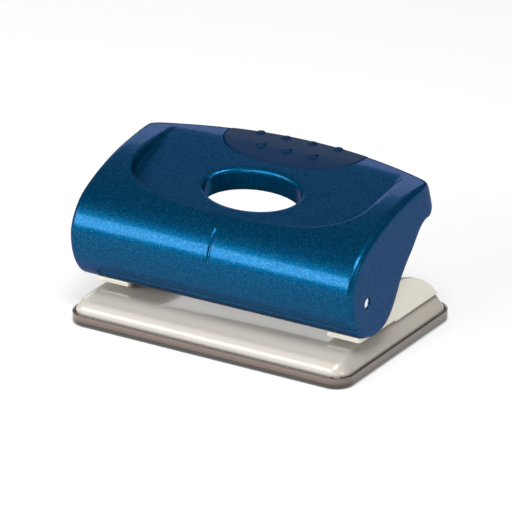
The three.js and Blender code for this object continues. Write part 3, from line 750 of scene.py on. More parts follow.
def rounded_path(corners, radius, spacing):
    """A closed path through corners, each cut by a small curve."""
    parts = []
    corners = [np.array(c, float) for c in corners]
    for before, here, after in zip(corners[-1:] + corners[:-1], corners, corners[1:] + corners[:1]):
        reach_in = min(radius, np.linalg.norm(before - here) * 0.45)
        reach_out = min(radius, np.linalg.norm(after - here) * 0.45)
        start = here + (before - here) / np.linalg.norm(before - here) * reach_in
        end = here + (after - here) / np.linalg.norm(after - here) * reach_out
        parts += [start[None], bezier(start, here, here, end, 4)]
    line = np.vstack(parts)
    pieces = []
    for a, b in zip(line, np.roll(line, -1, axis=0)):
        count = max(int(np.linalg.norm(b - a) / spacing), 1)
        pieces.append(a + (b - a) * (np.arange(count) / count)[:, None])
    line = np.vstack(pieces)
    apart = np.linalg.norm(line - np.roll(line, 1, axis=0), axis=1) > 1e-7
    return line[apart]


LIP_END = place_on_wall(0.998, 0.61)


def skin_net():
    corners = [(-EDGE_X, FRONT_END), (EDGE_X, FRONT_END), (EDGE_X, 0), (SIDE_X, 0), (SIDE_X, LENGTH),
               (EDGE_X, LENGTH), (EDGE_X, LIP_END), (-EDGE_X, LIP_END), (-EDGE_X, LENGTH),
               (-SIDE_X, LENGTH), (-SIDE_X, 0), (-EDGE_X, 0)]
    border = rounded_path(corners, 0.01 * MM, 0.8 * MM)
    rings = []
    for inset in (-0.5, -0.3, -0.1, 0.08, 0.25, 0.42, 0.6, 0.85, 1.3):
        rings.append((unroll(recess_line(inset * MM, PIVOT[1] + 0.8 * REACH)), False))
    hole = unroll(hole_line(0))
    for grow in (0.08, 0.25, 0.5, 0.8, 1.2, 1.8, 2.6):
        rings.append((unroll(hole_line(grow * MM)), True))
    for grow in (0.28, 0.22, 0.06, 0.0):
        rings.append((outline_grown(PAD_LINE, grow * MM), True))
    for offset in (-0.8, -0.5, -0.3, -0.12, 0.12, 0.3, 0.5, 0.8):
        line = np.array([[offset * MM, MARK_FROM], [offset * MM, MARK_TO]])
        rings.append((resampled(line, 0.7 * MM), False))
        rings.append((GROOVE + left_normals(GROOVE) * offset * MM, False))
    across = np.linspace(-EDGE_X, EDGE_X, int(2 * EDGE_X / STEP) + 1)
    wrap = EDGE_X + (SIDE_X - EDGE_X) * np.arange(1, 7) / 7
    across = np.concatenate([-wrap[::-1], across, wrap])
    rows = even_rows(0.4 * MM, LENGTH - 0.4 * MM)
    loose = np.array([(x, s) for s in rows for x in across])
    return triangulated(border, [hole], rings, loose, STEP)


def side_leaf(flat, outer, sign):
    """The flat side: its net uses the skin's own edge points along the wall."""
    edge = np.nonzero(np.abs(flat[:, 0] - sign * SIDE_X) < 1e-7)[0]
    edge = edge[np.argsort(flat[edge, 1])]
    free = resampled(FREE_CURVE, 0.8 * MM)
    free = (free - left_normals(free) * RIM)[1:-1]
    free[:, 0] -= corner_pull(HALF, free[:, 0])
    free += PIVOT[1:]
    border = np.vstack([outer[edge][:, 1:], free])
    angle = np.linspace(0, 2 * math.pi, 32, endpoint=False)
    hole = PIVOT[1:] + 1.6 * MM * np.column_stack([np.cos(angle), np.sin(angle)])
    low, high = border.min(axis=0), border.max(axis=0)
    grid = np.array([(y, z) for y in np.arange(low[0], high[0], 2 * MM)
                     for z in np.arange(low[1], high[1], 2 * MM)])
    net, faces = triangulated(border, [hole], [], grid, 1.6 * MM)
    index = np.zeros(len(net), int)
    added = []
    for i, point in enumerate(net):
        apart = np.hypot(*(outer[edge][:, 1:] - point).T)
        if apart.min() < 2e-6:
            index[i] = edge[np.argmin(apart)]
        else:
            index[i] = len(outer) + len(added)
            added.append((sign * HALF, *point))
    faces = index[faces]
    return np.array(added), faces if sign > 0 else faces[:, ::-1]


def shell_edge(outer, inner):
    """The strip for one loop of the shell."""
    middle = outer.mean(axis=0)
    if len(outer) > 200:
        return half_round(outer, inner)
    if abs(middle[0]) > 0.5 * HALF:
        return []
    depth = floor_height(outer[:, 1]) - COLLAR_DEPTH
    rings = []
    for k in range(1, 7):
        ring = outer.copy()
        ring[:, 2] += (depth + RIM - outer[:, 2]) * k / 6
        rings.append(ring)
    for angle in np.linspace(0, math.pi, 9)[1:]:
        share = (1 - math.cos(angle)) / 2
        ring = outer * (1 - share) + inner * share
        ring[:, 2] = depth + RIM - RIM * math.sin(angle)
        rings.append(ring)
    return rings


def rib(x):
    """A plate under the top that carries the rod and the pressure bar, with its rod hole."""
    across = np.full(60, x)
    along = np.linspace(place_on_wall(-0.17, -0.28), place_on_wall(0.375, 0.898), 60)
    top = recessed(form(across, along, WALL - 0.6 * MM), WALL - 0.6 * MM)[:, 1:]
    low = PIVOT[1:] + np.array([[14.15, 4.5], [12.95, 1.1], [0, -3.4]]) * MM
    outline = np.vstack([top, low])
    angle = np.linspace(0, 2 * math.pi, 32, endpoint=False)
    hole = PIVOT[1:] + 1.6 * MM * np.column_stack([np.cos(angle), np.sin(angle)])
    net, faces = triangulated(outline, [hole], [], np.zeros((0, 2)), STEP)
    near = np.column_stack([np.full(len(net), x + 1 * MM), net])
    far = np.column_stack([np.full(len(net), x - 1 * MM), net])
    return closed_body(near, far, faces, lambda outer, inner: [])


def joined(parts):
    verts, faces, total = [], [], 0
    for points, polygons in parts:
        verts.append(np.asarray(points, float))
        faces += [tuple(int(i) + total for i in face) for face in polygons]
        total += len(points)
    return np.vstack(verts), faces


def handle_shell(material):
    flat, faces = skin_net()
    outer, _ = skin(flat)
    inner = under_skin(flat)
    for sign in (1, -1):
        added, leaf = side_leaf(flat, outer, sign)
        outer = np.vstack([outer, added])
        inner = np.vstack([inner, added - [sign * WALL, 0, 0]])
        faces = np.vstack([faces, leaf])
    shell = closed_body(outer, inner, faces, shell_edge)
    rib_x = (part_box("rod_clip_right")[0].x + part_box("rod_clip_right")[1].x) / 2 - 2 * MM
    verts, polygons = joined([shell, rib(rib_x), rib(-rib_x)])
    return new_piece("handle_shell_skin", verts, polygons, "handle", material,
                     ["handle_shell"], 42)


# %% [markdown]
# ## The grip pad and its bumps
#
# The pad is a softer moulding that lies in its pocket, almost flush, and wraps over the rear edge. It
# follows the same rule of form as the shell. Its seven bumps are one dome, repeated by a node tree.


# %% The grip pad
PAD_PROUD = 0.12 * MM
PAD_SUNK = 0.8 * MM
PAD_ROUND, PAD_DROP = 0.4 * MM, 0.3 * MM     # its rounded edge: how wide and how deep


def grip_pad(material):
    rings = [(outline_grown(PAD_LINE, -grow * MM), True) for grow in (0.12, 0.3, 0.6, 1.0)]
    across = np.arange(-PAD_HALF, PAD_HALF, STEP)
    rows = even_rows(PAD_LINE[:, 1].min(), PAD_LINE[:, 1].max())
    loose = np.array([(x, s) for s in rows for x in across])
    flat, faces = triangulated(PAD_LINE, [], rings, loose, STEP)
    surface, way = skin(flat, feature=False)
    inside = np.clip(depth_inside(flat, PAD_LINE), 0, PAD_ROUND)
    rounded = PAD_PROUD - PAD_DROP * (1 - np.sqrt(1 - (1 - inside / PAD_ROUND) ** 2))
    verts, polygons = closed_body(surface + way * rounded[:, None], surface - way * PAD_SUNK, faces,
                                  lambda outer, inner: [])
    return new_piece("grip_pad_skin", verts, polygons, "handle", material, ["grip_pad"], 50)


# %% [markdown]
# ## Node trees that repeat a shape
#
# Bumps, rivets and coils are one shape used again and again. Copies made by hand would drift apart when a
# size changes. A node tree with named inputs keeps them alike: points say where, an attribute says which
# way each copy leans, and the tree ends in real geometry with its material set.


# %% Node trees that repeat a shape
SOCKETS = {"Geometry": "NodeSocketGeometry", "Object": "NodeSocketObject", "Float": "NodeSocketFloat",
           "Int": "NodeSocketInt", "Vector": "NodeSocketVector", "Material": "NodeSocketMaterial"}


class Recipe:
    """A geometry node tree with named inputs, and a short way to add nodes to it."""

    def __init__(self, name, inputs):
        self.tree = bpy.data.node_groups.new(name, "GeometryNodeTree")
        for label, kind in {"Geometry": "Geometry", **inputs}.items():
            self.tree.interface.new_socket(label, in_out="INPUT", socket_type=SOCKETS[kind])
        self.tree.interface.new_socket("Geometry", in_out="OUTPUT", socket_type=SOCKETS["Geometry"])
        self.inputs = self.tree.nodes.new("NodeGroupInput")
        self.output = self.tree.nodes.new("NodeGroupOutput")

    def node(self, kind, settings=None, **sockets):
        made = self.tree.nodes.new(kind)
        for name, value in (settings or {}).items():
            setattr(made, name, value)
        for name, value in sockets.items():
            socket = made.inputs[name.replace("_", " ")]
            if isinstance(value, bpy.types.NodeSocket):
                self.tree.links.new(value, socket)
            else:
                socket.default_value = value
        return made.outputs

    def take(self, label):
        return self.inputs.outputs[label]

    def finish(self, geometry):
        painted = self.node("GeometryNodeSetMaterial", Geometry=geometry, Material=self.take("Material"))
        self.tree.links.new(painted["Geometry"], self.output.inputs["Geometry"])
        return self.tree


def grown(name, points, tree, values, ways=None):
    """A piece made by a node tree from a few points, with its modifier already baked."""
    mesh = bpy.data.meshes.new(name)
    mesh.from_pydata([tuple(p) for p in points], [], [])
    if ways is not None:
        mesh.attributes.new("lean", "FLOAT_VECTOR", "POINT").data.foreach_set("vector", np.ravel(ways))
    piece = bpy.data.objects.new(name, mesh)
    bpy.context.scene.collection.objects.link(piece)
    modifier = piece.modifiers.new("grow", "NODES")
    modifier.node_group = tree
    for item in tree.interface.items_tree:
        if item.in_out == "INPUT" and item.name in values:
            modifier[item.identifier] = values[item.name]
    return bake_modifiers(piece)


def tool_shape(name, verts, faces):
    """A mesh that only a node tree uses. It is deleted when the tree has copied it."""
    mesh = bpy.data.meshes.new(name)
    mesh.from_pydata([tuple(v) for v in verts], [], [tuple(f) for f in faces])
    mesh.shade_smooth()
    shape = bpy.data.objects.new(name, mesh)
    bpy.context.scene.collection.objects.link(shape)
    return shape


def repeat_on_points():
    """Copies of one shape stand on the points, each leaning to the point's own way."""
    recipe = Recipe("shape on points", {"Shape": "Object", "Size": "Vector", "Material": "Material"})
    shape = recipe.node("GeometryNodeObjectInfo", Object=recipe.take("Shape"))
    lean = recipe.node("GeometryNodeInputNamedAttribute", {"data_type": "FLOAT_VECTOR"}, Name="lean")
    turned = recipe.node("FunctionNodeAlignRotationToVector", {"axis": "Z"}, Vector=lean["Attribute"])
    copies = recipe.node("GeometryNodeInstanceOnPoints", Points=recipe.take("Geometry"),
                         Instance=shape["Geometry"], Rotation=turned["Rotation"], Scale=recipe.take("Size"))
    real = recipe.node("GeometryNodeRealizeInstances", Geometry=copies["Instances"])
    return recipe.finish(real["Geometry"])


def repeated(name, points, ways, shape, size, material):
    values = {"Shape": shape, "Size": size, "Material": material}
    piece = grown(name, points, repeat_on_points(), values, ways)
    bpy.data.objects.remove(shape)
    print(f"{name}: {len(points)} copies")
    return piece


# %% [markdown]
# ## The bumps
#
# Seven low domes on the pad keep a thumb from slipping, four near the rear edge and three before them. They
# could be pushed up out of the pad's own mesh, but that would need a much finer net. Single domes, sunk a
# little into the pad and leaning with its surface, look the same and stay light.


# %% The bumps
BUMP_PITCH, BUMP_RADIUS, BUMP_HEIGHT = 9.05 * MM, 1.6 * MM, 0.7 * MM
REAR_ROW, FRONT_ROW = REACH + BOW - 6.3 * MM, REACH + BOW - 13.2 * MM
BUMP_ROWS = ((4, REAR_ROW), (3, FRONT_ROW))


def grip_bumps(material):
    plan = np.array([((i - (count - 1) / 2) * BUMP_PITCH, PIVOT[1] + u)
                     for count, u in BUMP_ROWS for i in range(count)])
    points, ways = skin(unroll(plan), feature=False)
    curve = [(math.cos(a), math.sin(a)) for a in np.linspace(-0.5, math.pi / 2, 10)]
    profile = [(0, -1.0)] + [(x, y) for x, y in curve[:-1]] + [(0, 1.0)]
    dome = tool_shape("dome", *lathe(profile, 32))
    piece = repeated("grip_bumps", points, ways, dome, (BUMP_RADIUS, BUMP_RADIUS, BUMP_HEIGHT), material)
    return finish_piece(piece, "handle", None, smooth=60)


# %% [markdown]
# ## The base plate
#
# The grey base is pressed from one sheet of steel and then enamelled, so nothing on it is sharp. It could
# be a box with bevels, but a bevel has one size all the way round, and here the front is a round nose with
# a ramp while the sides and the rear lean in by different amounts. So its height is one function of the
# place in plan, all slopes melt together at the corners, and a Solidify modifier gives it its thickness.


# %% The base plate
base_low, base_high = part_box("base_plate")
NOSE_RADIUS = 3.2 * MM
NOSE_HEIGHT = base_high.z - 1.7 * MM
RAMP = 13 * MM
SIDE_RUN, REAR_RUN = 3 * MM, 4 * MM          # how far the sides and the rear lean in
SHOULDER = 1.2 * MM                          # softness of the edge round the flat top
CORNER = 4.9 * MM
TRAY_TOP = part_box("chip_tray")[1].z
SHEET = 1.2 * MM


def rounded_rectangle(half_x, half_y, radius, steps=12):
    """A closed outline with round corners, anticlockwise, the same number of points at every size."""
    points = []
    for turn in range(4):
        centre = np.array([half_x - radius, half_y - radius]) * [(1, -1, -1, 1)[turn], (1, 1, -1, -1)[turn]]
        angles = (turn + np.linspace(0, 1, steps + 1)) * math.pi / 2
        points.append(centre + radius * np.column_stack([np.cos(angles), np.sin(angles)]))
    return np.vstack(points)


def smooth_least(first, second, width):
    h = np.clip(0.5 + 0.5 * (second - first) / width, 0, 1)
    return second * (1 - h) + first * h - width * h * (1 - h)


def nose_and_ramp(d):
    low = NOSE_HEIGHT - NOSE_RADIUS
    nose = low + np.sqrt(np.maximum(NOSE_RADIUS ** 2 - np.maximum(NOSE_RADIUS - d, 0) ** 2, 0))
    t = np.clip((d - NOSE_RADIUS) / RAMP, 0, 1)
    return nose + (base_high.z - NOSE_HEIGHT) * (1 - (1 - t) ** 1.4)


def leaning(d, run):
    return np.minimum(TRAY_TOP + np.maximum(d, 0) * (base_high.z - TRAY_TOP) / run, base_high.z)


def base_height(plan):
    """Height of the pressed sheet over points in plan."""
    x, y = np.abs(plan[:, 0]), plan[:, 1]
    from_side = base_high.x - x
    from_front, from_rear = y - base_low.y, base_high.y - y
    front = y < 0
    from_end = np.where(front, from_front, from_rear)
    in_corner = (from_side < CORNER) & (from_end < CORNER)
    around = CORNER - np.hypot(CORNER - from_side, CORNER - from_end)
    nearest = np.where(in_corner, around, np.minimum(from_side, from_end))
    angle = np.arctan2(np.maximum(CORNER - from_end, 1e-9), np.maximum(CORNER - from_side, 1e-9))
    share = ramp_up(angle, 0.15 * math.pi / 2, 0.95 * math.pi / 2)
    end_form = np.where(front, nose_and_ramp(from_end), leaning(from_end, REAR_RUN))
    side_form = leaning(from_side, SIDE_RUN)
    corner_end = np.where(front, nose_and_ramp(nearest), leaning(nearest, REAR_RUN))
    corner = share * corner_end + (1 - share) * leaning(nearest, SIDE_RUN)
    met = smooth_least(side_form, end_form, 0.9 * MM)
    blended = np.where(in_corner, smooth_least(corner, met, 0.3 * MM), met)
    return smooth_least(blended, np.full(len(x), base_high.z), SHOULDER)


def base_plate(material):
    outline = rounded_rectangle(base_high.x, base_high.y, CORNER)
    border = resampled(np.vstack([outline, outline[:1]]), 0.9 * MM)[:-1]
    rings = []
    for inset in (0.05, 0.2, 0.45, 0.8, 1.25, 1.8, 2.2, 2.6, 3.3, 4.1):
        line = rounded_rectangle(base_high.x - inset * MM, base_high.y - inset * MM, CORNER - inset * MM)
        rings.append((resampled(np.vstack([line, line[:1]]), 0.9 * MM)[:-1], True))
    holes = []
    angle = np.linspace(0, 2 * math.pi, 40, endpoint=False)
    circle = np.column_stack([np.cos(angle), np.sin(angle)])
    for node, grow in [("die_bush_left", 0.3), ("die_bush_right", 0.3), ("rivet_left_front", -0.9),
                       ("rivet_left_rear", -0.9), ("rivet_right_front", -0.9), ("rivet_right_rear", -0.9)]:
        low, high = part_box(node)
        middle = np.array([(low.x + high.x) / 2, (low.y + high.y) / 2])
        holes.append(middle + circle * ((high.x - low.x) / 2 + grow * MM))
    loose = np.array([(x, y) for x in np.arange(-base_high.x, base_high.x, 1.5 * MM)
                      for y in np.arange(base_low.y, base_high.y, 1.2 * MM)])
    flat, faces = triangulated(border, holes, rings, loose, 1.2 * MM)
    outer = np.column_stack([flat, base_height(flat)])
    edges = [loop for loop in open_edges([tuple(f) for f in faces]) if len(loop) > 100]
    skirt, polygons = [outer], [tuple(f) for f in faces]
    before, total = edges[0], len(outer)
    for height in (TRAY_TOP, 3.0 * MM, base_low.z):
        ring = outer[edges[0]].copy()
        ring[:, 2] = np.minimum(height, ring[:, 2])
        skirt.append(ring)
        now = np.arange(total, total + len(ring))
        polygons += [tuple(q) for q in np.column_stack([np.roll(before, -1), before, now, np.roll(now, -1)])]
        before, total = now, total + len(ring)
    piece = new_piece("base_plate_skin", np.vstack(skirt), polygons, "base", material,
                      ["base_plate"], 180)
    merged = bmesh.new()
    merged.from_mesh(piece.data)
    bmesh.ops.remove_doubles(merged, verts=merged.verts, dist=0.01 * MM)
    merged.to_mesh(piece.data)
    thick = piece.modifiers.new("sheet", "SOLIDIFY")
    thick.thickness, thick.offset, thick.use_even_offset = SHEET, -1, True
    bake_modifiers(piece)
    piece.data.set_sharp_from_angle(angle=math.radians(50))
    return piece


# %% [markdown]
# ## The chip tray
#
# The tray is a soft, smoky plastic dish that the base stands in. It catches the punched chips and its rim
# shows as a thin line all round. The dish is a stack of rounded outlines, from the middle of its underside
# out, up over the rim and down inside, which rounds every edge that light can catch without any modifier.


# %% The chip tray
def lofted(levels):
    """A closed body from stacked outlines with the same number of points."""
    verts = np.vstack(levels)
    count = len(levels[0])
    faces = [tuple(reversed(range(count)))]
    for k in range(len(levels) - 1):
        for i in range(count):
            n = (i + 1) % count
            faces.append((k * count + i, k * count + n, (k + 1) * count + n, (k + 1) * count + i))
    faces.append(tuple(range((len(levels) - 1) * count, len(levels) * count)))
    return verts, faces


def chip_tray(material):
    low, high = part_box("chip_tray")
    half_x, half_y = high.x, high.y
    section = [(0.9, 0.0), (0.55, 0.08), (0.12, 0.5), (0.0, 0.95), (0.0, 2.0), (0.0, 3.0), (0.0, 3.75),
               (0.05, 3.9), (0.18, 4.0), (0.55, 4.0), (0.72, 3.93), (0.8, 3.8), (0.8, 2.4), (0.8, 1.6),
               (0.9, 1.3), (1.2, 1.2)]
    levels = []
    for inset, height in section:
        outline = rounded_rectangle(half_x - inset * MM, half_y - inset * MM, (6 - inset) * MM, 14)
        levels.append(np.column_stack([outline, np.full(len(outline), height * MM)]))
    verts, faces = lofted(levels)
    return new_piece("chip_tray_skin", verts, faces, "tray", material, ["chip_tray"], 35)


# %% [markdown]
# ## Sheet metal parts
#
# The brackets and the clips keep the shape of their mechanical model. A copy gets its flat faces merged
# and its edges broken by a small bevel, as sheet has after tumbling.


# %% Sheet metal parts
def broken_edges(node, body, material, width=0.2 * MM):
    mesh = NODES[node].data.copy()
    work = bmesh.new()
    work.from_mesh(mesh)
    bmesh.ops.remove_doubles(work, verts=work.verts, dist=0.002 * MM)
    bmesh.ops.dissolve_limit(work, angle_limit=math.radians(1), verts=work.verts, edges=work.edges)
    work.to_mesh(mesh)
    work.free()
    piece = bpy.data.objects.new(node + "_sheet", mesh)
    bpy.context.scene.collection.objects.link(piece)
    bevel = piece.modifiers.new("edges", "BEVEL")
    bevel.width, bevel.segments, bevel.limit_method = width, 2, "ANGLE"
    bevel.angle_limit = math.radians(32)
    bake_modifiers(piece)
    return finish_piece(piece, body, material, [node], 30)


# %% [markdown]
# ## Turned parts
#
# Rod, bar, pins, bushes and washers come off a lathe on the real punch, so they are made the same way: each
# is a profile with softened corners, spun round its axis. A cylinder with a bevel would do for the plain
# ones, but the grooves for the clips and the steps of the bushes are easier to draw as a profile.


# %% Turned parts
def turned_part(name, profile, centre, body, material, node, lay=False, soft=0.15):
    verts, faces = lathe(softened(profile, soft * MM), 72)
    return new_piece(name, placed(verts, centre, lay), faces, body, material, [node], 35)


def ring_profile(inner, outer, low, high):
    return [(inner, low), (outer, low), (outer, high), (inner, high)]


def rod_and_bar(material):
    low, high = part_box("pivot_rod")
    radius, end = (high.z - low.z) / 2, high.x
    clip_low, clip_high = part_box("rod_clip_right")
    inside, outside = clip_low.x - 0.3 * MM, clip_high.x + 0.3 * MM
    groove = radius - 0.4 * MM
    profile = [(0, -end), (radius, -end), (radius, -outside), (groove, -outside), (groove, -inside),
               (radius, -inside), (radius, inside), (groove, inside), (groove, outside), (radius, outside),
               (radius, end), (0, end)]
    turned_part("pivot_rod_turned", profile, PIVOT, "base", material, "pivot_rod", True)
    low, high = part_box("pressure_bar")
    radius = (high.z - low.z) / 2
    centre = (0, (low.y + high.y) / 2, (low.z + high.z) / 2)
    profile = [(0, low.x), (radius, low.x), (radius, high.x), (0, high.x)]
    turned_part("pressure_bar_turned", profile, centre, "handle", material, "pressure_bar",
                True)


def notched_pin(name, node, body, material):
    """The pin, with a shallow V across its tip that shears the paper little by little."""
    low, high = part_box(node)
    clip_low, clip_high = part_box(node.replace("punch_pin", "retaining_clip"))
    radius = (high.x - low.x) / 2
    neck = radius - 0.7 * MM
    profile = [(0, low.z + 1.2 * MM), (radius * 0.5, low.z + 0.6 * MM), (radius, low.z),
               (radius, clip_low.z - 0.3 * MM), (neck, clip_low.z - 0.3 * MM), (neck, clip_high.z + 0.3 * MM),
               (radius, clip_high.z + 0.3 * MM), (radius, high.z - 0.4 * MM), (radius - 0.4 * MM, high.z),
               (0, high.z)]
    verts, faces = lathe(softened(profile, 0.1 * MM), 72)
    for vert in verts:
        if vert.z < low.z + 1.3 * MM:
            vert.z = low.z + 1.2 * MM * (1 - abs(vert.y) / radius)
    centre = ((low.x + high.x) / 2, (low.y + high.y) / 2, 0)
    return new_piece(name, placed(verts, centre), faces, body, material, [node], 35)


def round_parts_at_pin(side, steel, plated):
    low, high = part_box("punch_pin_" + side)
    axis = ((low.x + high.x) / 2, (low.y + high.y) / 2, 0)
    pin_radius = (high.x - low.x) / 2
    bore = pin_radius + 0.1 * MM
    notched_pin(f"punch_pin_{side}_turned", "punch_pin_" + side, side + "_pin", steel)
    low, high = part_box("guide_bush_" + side)
    collar, sleeve = (high.x - low.x) / 2, bore + 0.65 * MM
    step = high.z - 1.8 * MM
    profile = [(bore, low.z), (sleeve, low.z), (sleeve, step), (collar, step), (collar, high.z),
               (bore, high.z)]
    turned_part(f"guide_bush_{side}_turned", profile, axis, "base", steel,
                "guide_bush_" + side)
    low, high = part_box("die_bush_" + side)
    profile = ring_profile(bore, (high.x - low.x) / 2, low.z, high.z)
    turned_part(f"die_bush_{side}_turned", profile, axis, "base", steel, "die_bush_" + side)
    low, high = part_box("spring_washer_" + side)
    profile = ring_profile(bore, (high.x - low.x) / 2, low.z, high.z)
    turned_part(f"spring_washer_{side}_turned", profile, axis, side + "_pin", plated,
                "spring_washer_" + side)


# %% [markdown]
# ## Springs and rivets
#
# Two coil springs push the pins and the handle back up. Each is a round section swept along a spiral in a
# node tree. The rivets that hold the brackets are one domed shape that stands on four points.


# %% Springs and rivets
def coil_recipe():
    recipe = Recipe("coil spring", {"Coil radius": "Float", "Wire radius": "Float", "Turns": "Float",
                                    "Height": "Float", "Material": "Material"})
    spiral = recipe.node("GeometryNodeCurveSpiral", Resolution=40, Rotations=recipe.take("Turns"),
                         Start_Radius=recipe.take("Coil radius"), End_Radius=recipe.take("Coil radius"),
                         Height=recipe.take("Height"))
    section = recipe.node("GeometryNodeCurvePrimitiveCircle", {"mode": "RADIUS"}, Resolution=12,
                          Radius=recipe.take("Wire radius"))
    wire = recipe.node("GeometryNodeCurveToMesh", Curve=spiral["Curve"], Profile_Curve=section["Curve"],
                       Fill_Caps=True)
    copies = recipe.node("GeometryNodeInstanceOnPoints", Points=recipe.take("Geometry"),
                         Instance=wire["Mesh"])
    real = recipe.node("GeometryNodeRealizeInstances", Geometry=copies["Instances"])
    return recipe.finish(real["Geometry"])


def return_spring(side, material, tree):
    low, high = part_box("return_spring_" + side)
    pin_low, pin_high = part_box("punch_pin_" + side)
    wire = 0.4 * MM
    foot = ((pin_low.x + pin_high.x) / 2, (pin_low.y + pin_high.y) / 2, low.z + wire)
    coil = (high.x - low.x) / 2 - wire
    piece = grown(f"return_spring_{side}_coil", [foot], tree, {
        "Coil radius": coil, "Wire radius": wire, "Turns": 5.0, "Height": high.z - low.z - 2 * wire,
        "Material": material})
    finish_piece(piece, "base", None, ["return_spring_" + side], 50)
    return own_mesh(piece)


def rivets(material):
    nodes = [f"rivet_{side}_{place}" for side in ("left", "right") for place in ("front", "rear")]
    boxes = [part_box(node) for node in nodes]
    points = [((low.x + high.x) / 2, (low.y + high.y) / 2, 0) for low, high in boxes]
    low, high = boxes[0]
    head, tail, shank = (high.x - low.x) / 2, 2.2 * MM, 1.4 * MM
    dome = [(head * math.cos(a), high.z - 1.1 * MM * (1 - math.sin(a))) for a in np.linspace(0, 1.45, 8)]
    profile = [(0, low.z), (tail - 0.3 * MM, low.z), (tail, low.z + 0.4 * MM), (tail, low.z + 0.8 * MM),
               (shank, low.z + 0.8 * MM), (shank, high.z - 1.1 * MM), *dome, (0, high.z)]
    shape = tool_shape("rivet", *lathe(softened(profile, 0.08 * MM), 40))
    piece = repeated("rivets", points, [(0, 0, 1)] * 4, shape, (1, 1, 1), material)
    return finish_piece(piece, "base", None, nodes, 40)


# %% [markdown]
# ## Finishes
#
# The lacquer is what people see first: a deep blue with fine metal flakes under a clear coat. Flakes could
# be painted as dots, but real ones shine because each faces its own way, so cells about a third of a
# millimetre wide drive both a slight change of blue and a small bump. The pad is duller and darker, the
# enamel is glossy with a faint unevenness, and the bracket sheet has a satin coat. The tray is see-through
# on the real punch. Here its colour changes with height instead, with painted shade below and under the
# base's edge and a painted brown glow of light through the rim, because that look survives in every
# renderer. The steels differ in brightness and in roughness.


# %% Finishes
def blue_lacquer():
    """Metallic lacquer: a deep blue ground, fine bright flakes that each face their own way, a clear coat."""
    paint = Paint("blue lacquer", Metallic=0.72, Roughness=0.31, Coat_Weight=0.1, Coat_Roughness=0.04,
                  Specular_IOR_Level=0.3, Specular_Tint=(0.05, 0.3, 0.55, 1))
    cells = paint.node("ShaderNodeTexVoronoi", {"feature": "F1"}, {"Vector": paint.place(), "Scale": 3200.0},
                       "Color")
    ground = paint.ramp(cells, [(0.0, (0.0, 0.04, 0.104)), (0.5, (0.0, 0.056, 0.138)),
                                (0.68, (0.0, 0.066, 0.158)), (0.82, (0.008, 0.09, 0.185))])
    return paint.surface(Base_Color=ground, Normal=paint.bump(cells, 0.00006, 0.3))


def navy_grip():
    paint = Paint("navy grip", Roughness=0.5, Specular_IOR_Level=0.1)
    grain = paint.noise(2600.0, 2.0)
    colour = paint.blend(grain, (0.0, 0.012, 0.042), (0.0, 0.018, 0.06))
    return paint.surface(Base_Color=colour, Normal=paint.bump(grain, 0.00002, 0.4))


def grey_enamel():
    paint = Paint("grey enamel", Roughness=0.28, Coat_Weight=0.6, Coat_Roughness=0.08)
    cloud = paint.noise(60.0, 3.0)
    colour = paint.blend(cloud, (0.43, 0.4, 0.355), (0.47, 0.435, 0.385))
    return paint.surface(Base_Color=colour, Normal=paint.bump(paint.noise(420.0, 2.0), 0.00002, 0.25))


def plated_steel():
    paint = Paint("plated steel", Metallic=0.35, Roughness=0.36)
    cloud = paint.noise(240.0, 3.0)
    colour = paint.blend(cloud, (0.7, 0.68, 0.58), (0.78, 0.75, 0.66))
    return paint.surface(Base_Color=colour, Roughness=cloud * 0.12 + 0.3)


def smoked_plastic_painted_shading():
    """Smoky clear plastic, with light and shade painted into its colour by height: a lighter brown band
    paints light through the rim's thickness, darker bands paint shade low down and under the base's edge.
    """
    paint = Paint("smoked plastic", Roughness=0.18, Coat_Weight=0.5, Coat_Roughness=0.05)
    height = paint.node("ShaderNodeSeparateXYZ", None, {"Vector": paint.place()}, "Z")
    # Painted light and shade: the dark stops paint the shade of the lower band and of the gap under the base,
    # the brown stops paint light passing through the rim.
    colour = paint.ramp(height * 250.0, [(0.0, (0.016, 0.012, 0.01)), (0.38, (0.022, 0.016, 0.013)),
                                         (0.5, (0.1, 0.07, 0.055)), (0.84, (0.15, 0.108, 0.088)),
                                         (0.93, (0.02, 0.016, 0.014))])
    return paint.surface(Base_Color=colour)


def bright_steel():
    paint = Paint("bright steel", Metallic=1.0, Roughness=0.18)
    colour = paint.blend(paint.noise(500.0, 2.0), (0.72, 0.73, 0.75), (0.82, 0.83, 0.84))
    return paint.surface(Base_Color=colour, Roughness=paint.noise(900.0, 2.0) * 0.12 + 0.12)


def spring_steel():
    paint = Paint("spring steel", Metallic=1.0, Roughness=0.3)
    colour = paint.blend(paint.noise(700.0, 2.0), (0.4, 0.41, 0.43), (0.5, 0.51, 0.53))
    return paint.surface(Base_Color=colour)


# %% [markdown]
# ## Build the punch
#
# Each call below makes one visible piece and ties it to its body. The left and the right bracket groups are
# the same pieces at their own nodes' places, so one loop makes both.


# %% Build the punch
BLUE, GRIP, ENAMEL = blue_lacquer(), navy_grip(), grey_enamel()
PLATED, SMOKED_PAINTED_SHADING, BRIGHT, SPRING = plated_steel(), smoked_plastic_painted_shading(), bright_steel(), spring_steel()

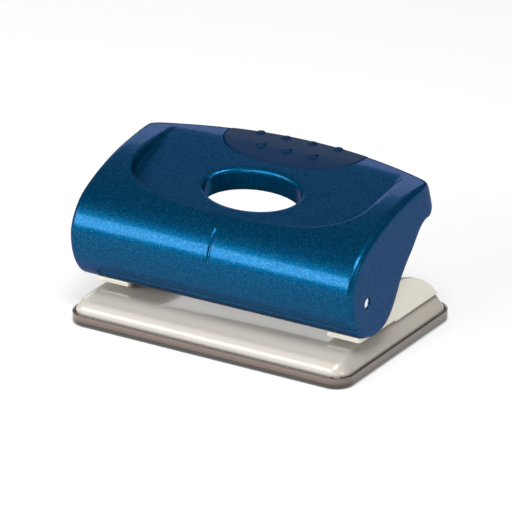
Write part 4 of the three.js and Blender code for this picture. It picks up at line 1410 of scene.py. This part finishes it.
handle_shell(BLUE)
grip_pad(GRIP)
grip_bumps(GRIP)
base_plate(ENAMEL)
chip_tray(SMOKED_PAINTED_SHADING)
rod_and_bar(BRIGHT)
coil_tree = coil_recipe()
for side in ("left", "right"):
    broken_edges("bracket_" + side, "base", PLATED)
    broken_edges("rod_clip_" + side, "base", SPRING, 0.1 * MM)
    broken_edges("retaining_clip_" + side, side + "_pin", SPRING, 0.1 * MM)
    round_parts_at_pin(side, BRIGHT, PLATED)
    return_spring(side, SPRING, coil_tree)
rivets(PLATED)

# %% [markdown]
# ## Floor and light
#
# The punch stands on a pale floor that glows a little, which keeps its shadows soft. A long panel in front
# gives the bright band along the brow of the handle, one overhead models the top, and two weak ones lift
# the rear and the right side.


# %% Floor and light
def floor():
    mesh = bpy.data.meshes.new("floor")
    mesh.from_pydata([(-4, -4, 0), (4, -4, 0), (4, 4, 0), (-4, 4, 0)], [], [(0, 1, 2, 3)])
    piece = bpy.data.objects.new("floor", mesh)
    bpy.context.scene.collection.objects.link(piece)
    mesh.materials.append(Paint("floor", Base_Color=(0.5, 0.5, 0.5, 1), Roughness=0.9,
                                Emission_Color=(1, 1, 1, 1), Emission_Strength=0.45).material)


def panel(name, place, aim, size, watts, colour=(1, 1, 1)):
    data = bpy.data.lights.new(name, "AREA")
    data.shape, data.size, data.size_y = "RECTANGLE", *size
    data.energy, data.color = watts, colour
    lamp = bpy.data.objects.new(name, data)
    bpy.context.scene.collection.objects.link(lamp)
    lamp.location = place
    lamp.rotation_euler = (Vector(place) - Vector(aim)).to_track_quat("Z", "Y").to_euler()
    print(f"{name}: {watts} W at {place}")


def sky(strength):
    world = bpy.data.worlds.new("studio")
    world.use_nodes = True
    background = world.node_tree.nodes["Background"]
    background.inputs["Color"].default_value = (1, 1, 1, 1)
    background.inputs["Strength"].default_value = strength
    bpy.context.scene.world = world


floor()
sky(0.12)
panel("front panel", (-0.5, -0.9, 0.43), (0, 0, 0.03), (1.2, 0.36), 13)
panel("key panel", (0.35, -0.45, 1.0), (0, 0, 0), (0.5, 0.4), 12)
panel("rear panel", (-0.55, 0.75, 0.55), (0, 0, 0.03), (0.7, 0.3), 1.6)
panel("side panel", (0.95, -0.1, 0.4), (0, 0, 0.02), (0.4, 0.3), 1.3)
bpy.context.scene.view_settings.view_transform = "Standard"
